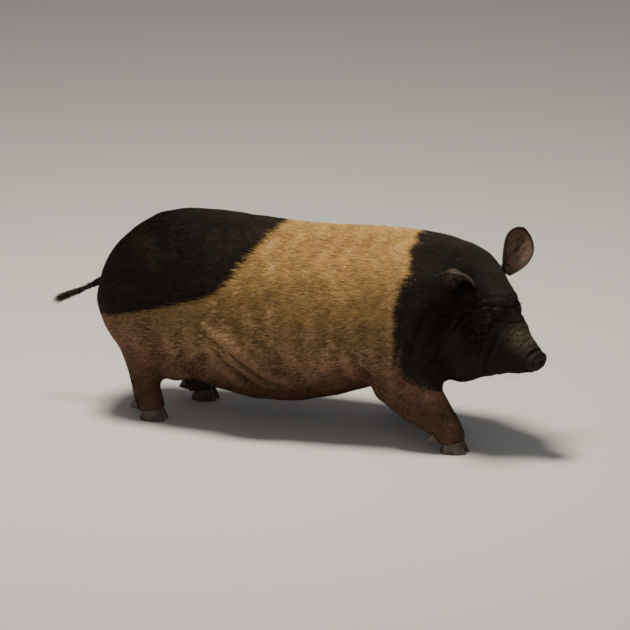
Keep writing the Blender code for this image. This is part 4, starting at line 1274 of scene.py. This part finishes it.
def tufts(name, region, root, up, lie, tip, half, tone, inside=None, bend=None):
    """One mesh of spikes from arrays; with bend given, each has a middle ring raised by that much."""
    count = len(root)
    aside = np.cross(lie, up)
    sunk = root - up * ROOT_SUNK
    rings = [sunk - aside * half, sunk + aside * half, sunk + up * half]
    shape, patch, shades = SPIKE_FACES, SPIKE_PATCH, SPIKE_SHADES
    if bend is not None:
        middle = (root + tip) / 2 + bend
        rings += [middle - aside * half * 0.8, middle + aside * half * 0.8, middle + up * half * 0.8]
        shape, patch, shades = BENT_FACES, BENT_PATCH, BENT_SHADES
    rings.append(tip)
    points = np.stack(rings, axis=1).reshape(-1, 3)
    faces = (np.array(shape)[None] + len(rings) * np.arange(count)[:, None, None]).reshape(-1, 3)
    item = as_mesh(name, points, faces)
    colour_attribute(item, "tone", (tone[:, None, :] * np.array(shades)[None, :, None]).reshape(-1, 3))
    flat = unwrapped(root, region, inside)[:, None, :] + np.array(patch)[None] * PATCH
    layer = item.data.uv_layers.new(name="OFBake")
    layer.data.foreach_set("uv", flat.reshape(-1, 2)[faces.ravel()].ravel())
    make_active(item)
    bpy.ops.object.shade_smooth()
    item.data.materials.append(bristle)
    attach(item, "root")


def coat(name, region, weight, count, length, width, lift, seed, way=None, tones=coat_colours):
    """Many tufts on the hide. weight says how thickly they grow on each of its faces."""
    draw = np.random.default_rng(COAT_SEED + seed)
    chance = face_area * weight
    picked = draw.choice(len(hide_faces), count, p=chance / chance.sum())
    a, b = draw.random((2, count))
    flip = a + b > 1
    a[flip], b[flip] = 1 - a[flip], 1 - b[flip]
    mix = np.stack([1 - a - b, a, b], axis=1)
    root = (hide_corners[picked] * mix[:, :, None]).sum(1)
    up = (hide_ways[hide_faces[picked]] * mix[:, :, None]).sum(1)
    up /= np.linalg.norm(up, axis=1)[:, None]
    on_ear = (hide_ear[hide_faces[picked]] * mix).sum(1)
    inside = (hide_inside[hide_faces[picked]] * mix).sum(1)
    lie = flow(root, up, on_ear) if way is None else way(root, up, draw)
    aside = np.cross(lie, up)
    swerve = draw.normal(0, SWERVE, count)[:, None]
    lie = lie * np.cos(swerve) + aside * np.sin(swerve)
    long = (length(root) if callable(length) else length) * draw.uniform(0.70, 1.15, count)
    rise = lift * long * draw.uniform(0.5, 1.5, count)
    half = (width / 2 * draw.uniform(0.75, 1.25, count))[:, None]
    tone = tones(root, draw)
    if way is None:
        tip = laid_on_hide(root + lie * long[:, None], rise)
        tufts(name, region, root, up, lie, tip, half, tone, inside)
    else:
        down = np.array((0, 0, 1)) * (DROOP * long)[:, None]
        tip = root + lie * long[:, None] + up * rise[:, None] - down
        bend = up * (0.3 * rise)[:, None] + down / 2
        tufts(name, region, root, up, lie, tip, half, tone, inside, bend)


middles = hide_corners.mean(1)
spots = in_head(middles)
ahead, height = spots[:, 0], middles[:, 2]
face_black = markings(middles)[0]
face_ear = hide_ear[hide_faces].mean(1)
eye_gap = np.min([np.linalg.norm(middles - middle, axis=1) for middle in eye_middles], axis=0)
mouth_gap = gap_to(middles, mouth_path)[0]
above_throat = spots[:, 2] > THROAT
head_here = ease(ahead, *HEAD_COAT) * above_throat * (height > 0.095) * (1 - face_ear)
trunk_here = (1 - ease(ahead, *TRUNK_COAT) * above_throat) * (height > 0.070) * (1 - face_ear)
trunk_here = trunk_here * (middles[:, 0] > RUMP_END)
clear = ease(eye_gap, *BARE_LIDS) * (mouth_gap > BARE_LIPS)
thicker_above = 0.45 + 0.55 * ease(height, 0.12, 0.22)
shanks = (height < 0.13) * (height > 0.017) * (face_black < 0.5)


def body_length(points):
    """Longest over the spine, shorter down the flanks."""
    return 0.0125 + 0.0075 * ease(points[:, 2], 0.15, 0.33)


def ear_hair(points, draw):
    """Brown-black, paler where it lines the cup, and darker in the right ear's cup as painted shade."""
    tone = coat_colours(points, draw)
    lining = np.array([hide_inside[hide_kd.find(point)[1]] for point in points])
    # painted shade: the hair lining the right ear's cup is darker, as that cup lies in shade
    shaded = PAINTED_SHADE_RIGHT_LINING * (ear_side(points) == 0) * lining
    return tone * (EAR_PALER - shaded + LINING_PALER * lining)[:, None]


def head_length(points):
    """Shorter from the crown down to the face."""
    return 0.0105 - 0.0045 * ease(in_head(points)[:, 0], 0.15, 0.50)


for side, sign in (("right", -1), ("left", 1)):
    here = trunk_here * (middles[:, 1] * sign > 0)
    coat(
        "bristles_back_" + side, "trunk", here * (face_black < 0.6) * thicker_above,
        count=49000, length=body_length, width=0.00105, lift=0.08, seed=sign + 2,
    )
    coat(
        "bristles_rump_" + side, "trunk", here * (face_black > 0.4) * (middles[:, 0] < 0),
        count=34000, length=body_length, width=0.0010, lift=0.09, seed=sign + 12,
    )
    coat(
        "bristles_neck_" + side, "trunk", here * (face_black > 0.4) * (middles[:, 0] > 0),
        count=25000, length=body_length, width=0.0010, lift=0.09, seed=sign + 22,
    )
coat(
    "bristles_head", "head", head_here * (ahead < 0.52) * clear * (face_black > 0.3),
    count=46000, length=head_length, width=0.0007, lift=0.09, seed=31,
)
coat(
    "bristles_face", "head", head_here * (ahead > 0.40) * (ahead < 0.895) * clear,
    count=34000, length=0.0046, width=0.0005, lift=0.09, seed=32,
)
coat(
    "bristles_ears", "ears", face_ear ** 2 * (1 - 0.8 * hide_inside[hide_faces].mean(1)),
    count=19000, length=0.0075, width=0.0005, lift=0.10, seed=33, tones=ear_hair,
)
for end, sign in (("front", 1), ("hind", -1)):
    coat(
        "bristles_legs_" + end, "legs", shanks * (middles[:, 0] * sign > 0) * (1 - head_here),
        count=26000, length=0.0095, width=0.00065, lift=0.10, seed=40 + sign,
    )


def tail_length(points):
    """Longest in the tuft at the tail's end."""
    return 0.010 + 0.014 * ease(-(points[:, 0] - body_origin.x), 0.455, 0.500)


def along_tail(points, ways, draw):
    """Back and down with the end of the tail, spread a little."""
    way = np.array((-1.0, 0.0, -0.42)) + draw.normal(0, 0.10, points.shape) + 0.12 * ways
    way = way - ways * np.minimum(0, (way * ways).sum(1))[:, None]
    return way / np.linalg.norm(way, axis=1)[:, None]


tail_reach = -(middles[:, 0] - body_origin.x)
coat(
    "bristles_tail", "tail", ease(tail_reach, 0.440, 0.500) * (tail_reach > 0.440),
    count=650, length=tail_length, width=0.0008, lift=0.04, seed=51, way=along_tail,
)

# The lashes stand in one row along each upper lid and curve up at their ends. The feelers are long stiff
# single hairs about lips, chin and brows, which droop a little. Both are rooted in the skin.
LASHES = 46
LASH_LENGTH = 0.0062
LASH_HALF_WIDTH = 0.00013
FEELERS = 150
FEELER_TONE = (0.030, 0.022, 0.016)


def outward(points, ways, draw):
    """Out from the skin, combed back and down."""
    way = ways + draw.normal(0, 0.22, points.shape) - 0.45 * head_turn[0] - np.array((0, 0, 0.25))
    return way / np.linalg.norm(way, axis=1)[:, None]


def feeler_tone(points, draw):
    return np.array(FEELER_TONE) * draw.uniform(0.6, 2.2, len(points))[:, None]


lip = np.exp(-((mouth_gap - 0.009) / 0.006) ** 2) * (ahead > 0.60)
brow = np.exp(-((eye_gap - 0.019) / 0.003) ** 2) * (spots[:, 2] > 0.27) * (ahead < 0.52)
chin = (spots[:, 2] < -0.30) * (ahead > 0.50)
coat(
    "feelers", "head", head_here * (ahead < 0.88) * (lip + 0.8 * brow + 0.25 * chin),
    count=FEELERS, length=0.015, width=0.00036, lift=0.10, seed=61,
    way=outward, tones=feeler_tone,
)
lash = np.random.default_rng(COAT_SEED)
roots, ups, lies, tips, bends = [], [], [], [], []
for side, name in ((-1, "right"), (1, "left")):
    middle = np.array(eye_places[name])
    look, lid_up, along = eye_axes(side)
    for across in np.linspace(-0.85, 0.85, LASHES):
        wide = across * LID_HALF_WIDTH / EYEBALL_RADIUS
        high = (UPPER_LID * (1 - across ** 2) + 0.0007) / EYEBALL_RADIUS
        out = look + along * math.tan(wide) + lid_up * math.tan(high)
        out /= np.linalg.norm(out)
        way = out + 0.5 * along * across + 0.25 * lid_up + lash.normal(0, 0.07, 3)
        way /= np.linalg.norm(way)
        long = LASH_LENGTH * lash.uniform(0.7, 1.1) * (1 - 0.35 * across ** 2)
        root = middle + out * (EYEBALL_RADIUS + LID_THICKNESS)
        roots.append(root)
        ups.append(np.cross(np.cross(way, lid_up), way))
        lies.append(way)
        tips.append(root + way * long + lid_up * 0.22 * long)
        bends.append(-lid_up * 0.12 * long)
roots, ups, lies, tips, bends = (np.array(group) for group in (roots, ups, lies, tips, bends))
tufts(
    "lashes", "head", roots, ups, lies, tips, LASH_HALF_WIDTH, feeler_tone(roots, lash),
    bend=bends,
)

# The floor is a plain pale sheet under the soles. A round soft lamp hangs over the animal, and a weak one
# stands on the camera's side. The camera looks at the right side and down by 16 degrees.
PICTURE = 630
PIXELS_PER_METRE = 596
PLACE_PIXEL = (346, 424)
VIEW_AZIMUTH = math.radians(18)
VIEW_ELEVATION = math.radians(16)
VIEW_DISTANCE = 9.0
SENSOR = 36.0


def plain_material(name, tone, roughness):
    made, tree, shader = new_material(name, roughness)
    shader.inputs["Base Color"].default_value = (*tone, 1)
    return made


deselect()
bpy.ops.mesh.primitive_plane_add(size=30)
floor = bpy.context.object
floor.name = "floor"
floor.data.materials.append(plain_material("pale_floor", (0.62, 0.60, 0.57), 0.8))

world = bpy.data.worlds.new("studio")
bpy.context.scene.world = world
world.use_nodes = True
world.node_tree.nodes["Background"].inputs["Color"].default_value = (0.92, 0.93, 0.95, 1)
world.node_tree.nodes["Background"].inputs["Strength"].default_value = 0.22


def soft_light(name, place, size, power, tone=(1, 1, 1)):
    lamp = bpy.data.lights.new(name, "AREA")
    lamp.shape = "DISK"
    lamp.size = size
    lamp.energy = power
    lamp.color = tone
    item = link(name, lamp)
    item.location = place
    item.rotation_euler = (Vector((0, 0, 0.15)) - Vector(place)).to_track_quat("-Z", "Y").to_euler()


soft_light("key", (-0.3, -0.10, 2.6), 0.8, 98, (1.0, 0.93, 0.80))
soft_light("fill", (1.6, -3.0, 1.6), 2.2, 12, (1.0, 0.97, 0.93))

right_way = Vector((math.cos(VIEW_AZIMUTH), math.sin(VIEW_AZIMUTH), 0))
back_way = Vector((
    math.sin(VIEW_AZIMUTH) * math.cos(VIEW_ELEVATION),
    -math.cos(VIEW_AZIMUTH) * math.cos(VIEW_ELEVATION),
    math.sin(VIEW_ELEVATION),
))
up_way = back_way.cross(right_way)
aim = (
    body_origin
    + right_way * ((PICTURE / 2 - PLACE_PIXEL[0]) / PIXELS_PER_METRE)
    + up_way * ((PLACE_PIXEL[1] - PICTURE / 2) / PIXELS_PER_METRE)
)
camera = bpy.data.cameras.new("camera")
camera.sensor_width = SENSOR
camera.lens = SENSOR * PIXELS_PER_METRE * VIEW_DISTANCE / PICTURE
camera.clip_end = 100
viewer = link("camera", camera)
viewer.location = aim + back_way * VIEW_DISTANCE
viewer.rotation_mode = "QUATERNION"
viewer.rotation_quaternion = (-back_way).to_track_quat("-Z", "Y")
bpy.context.scene.camera = viewer
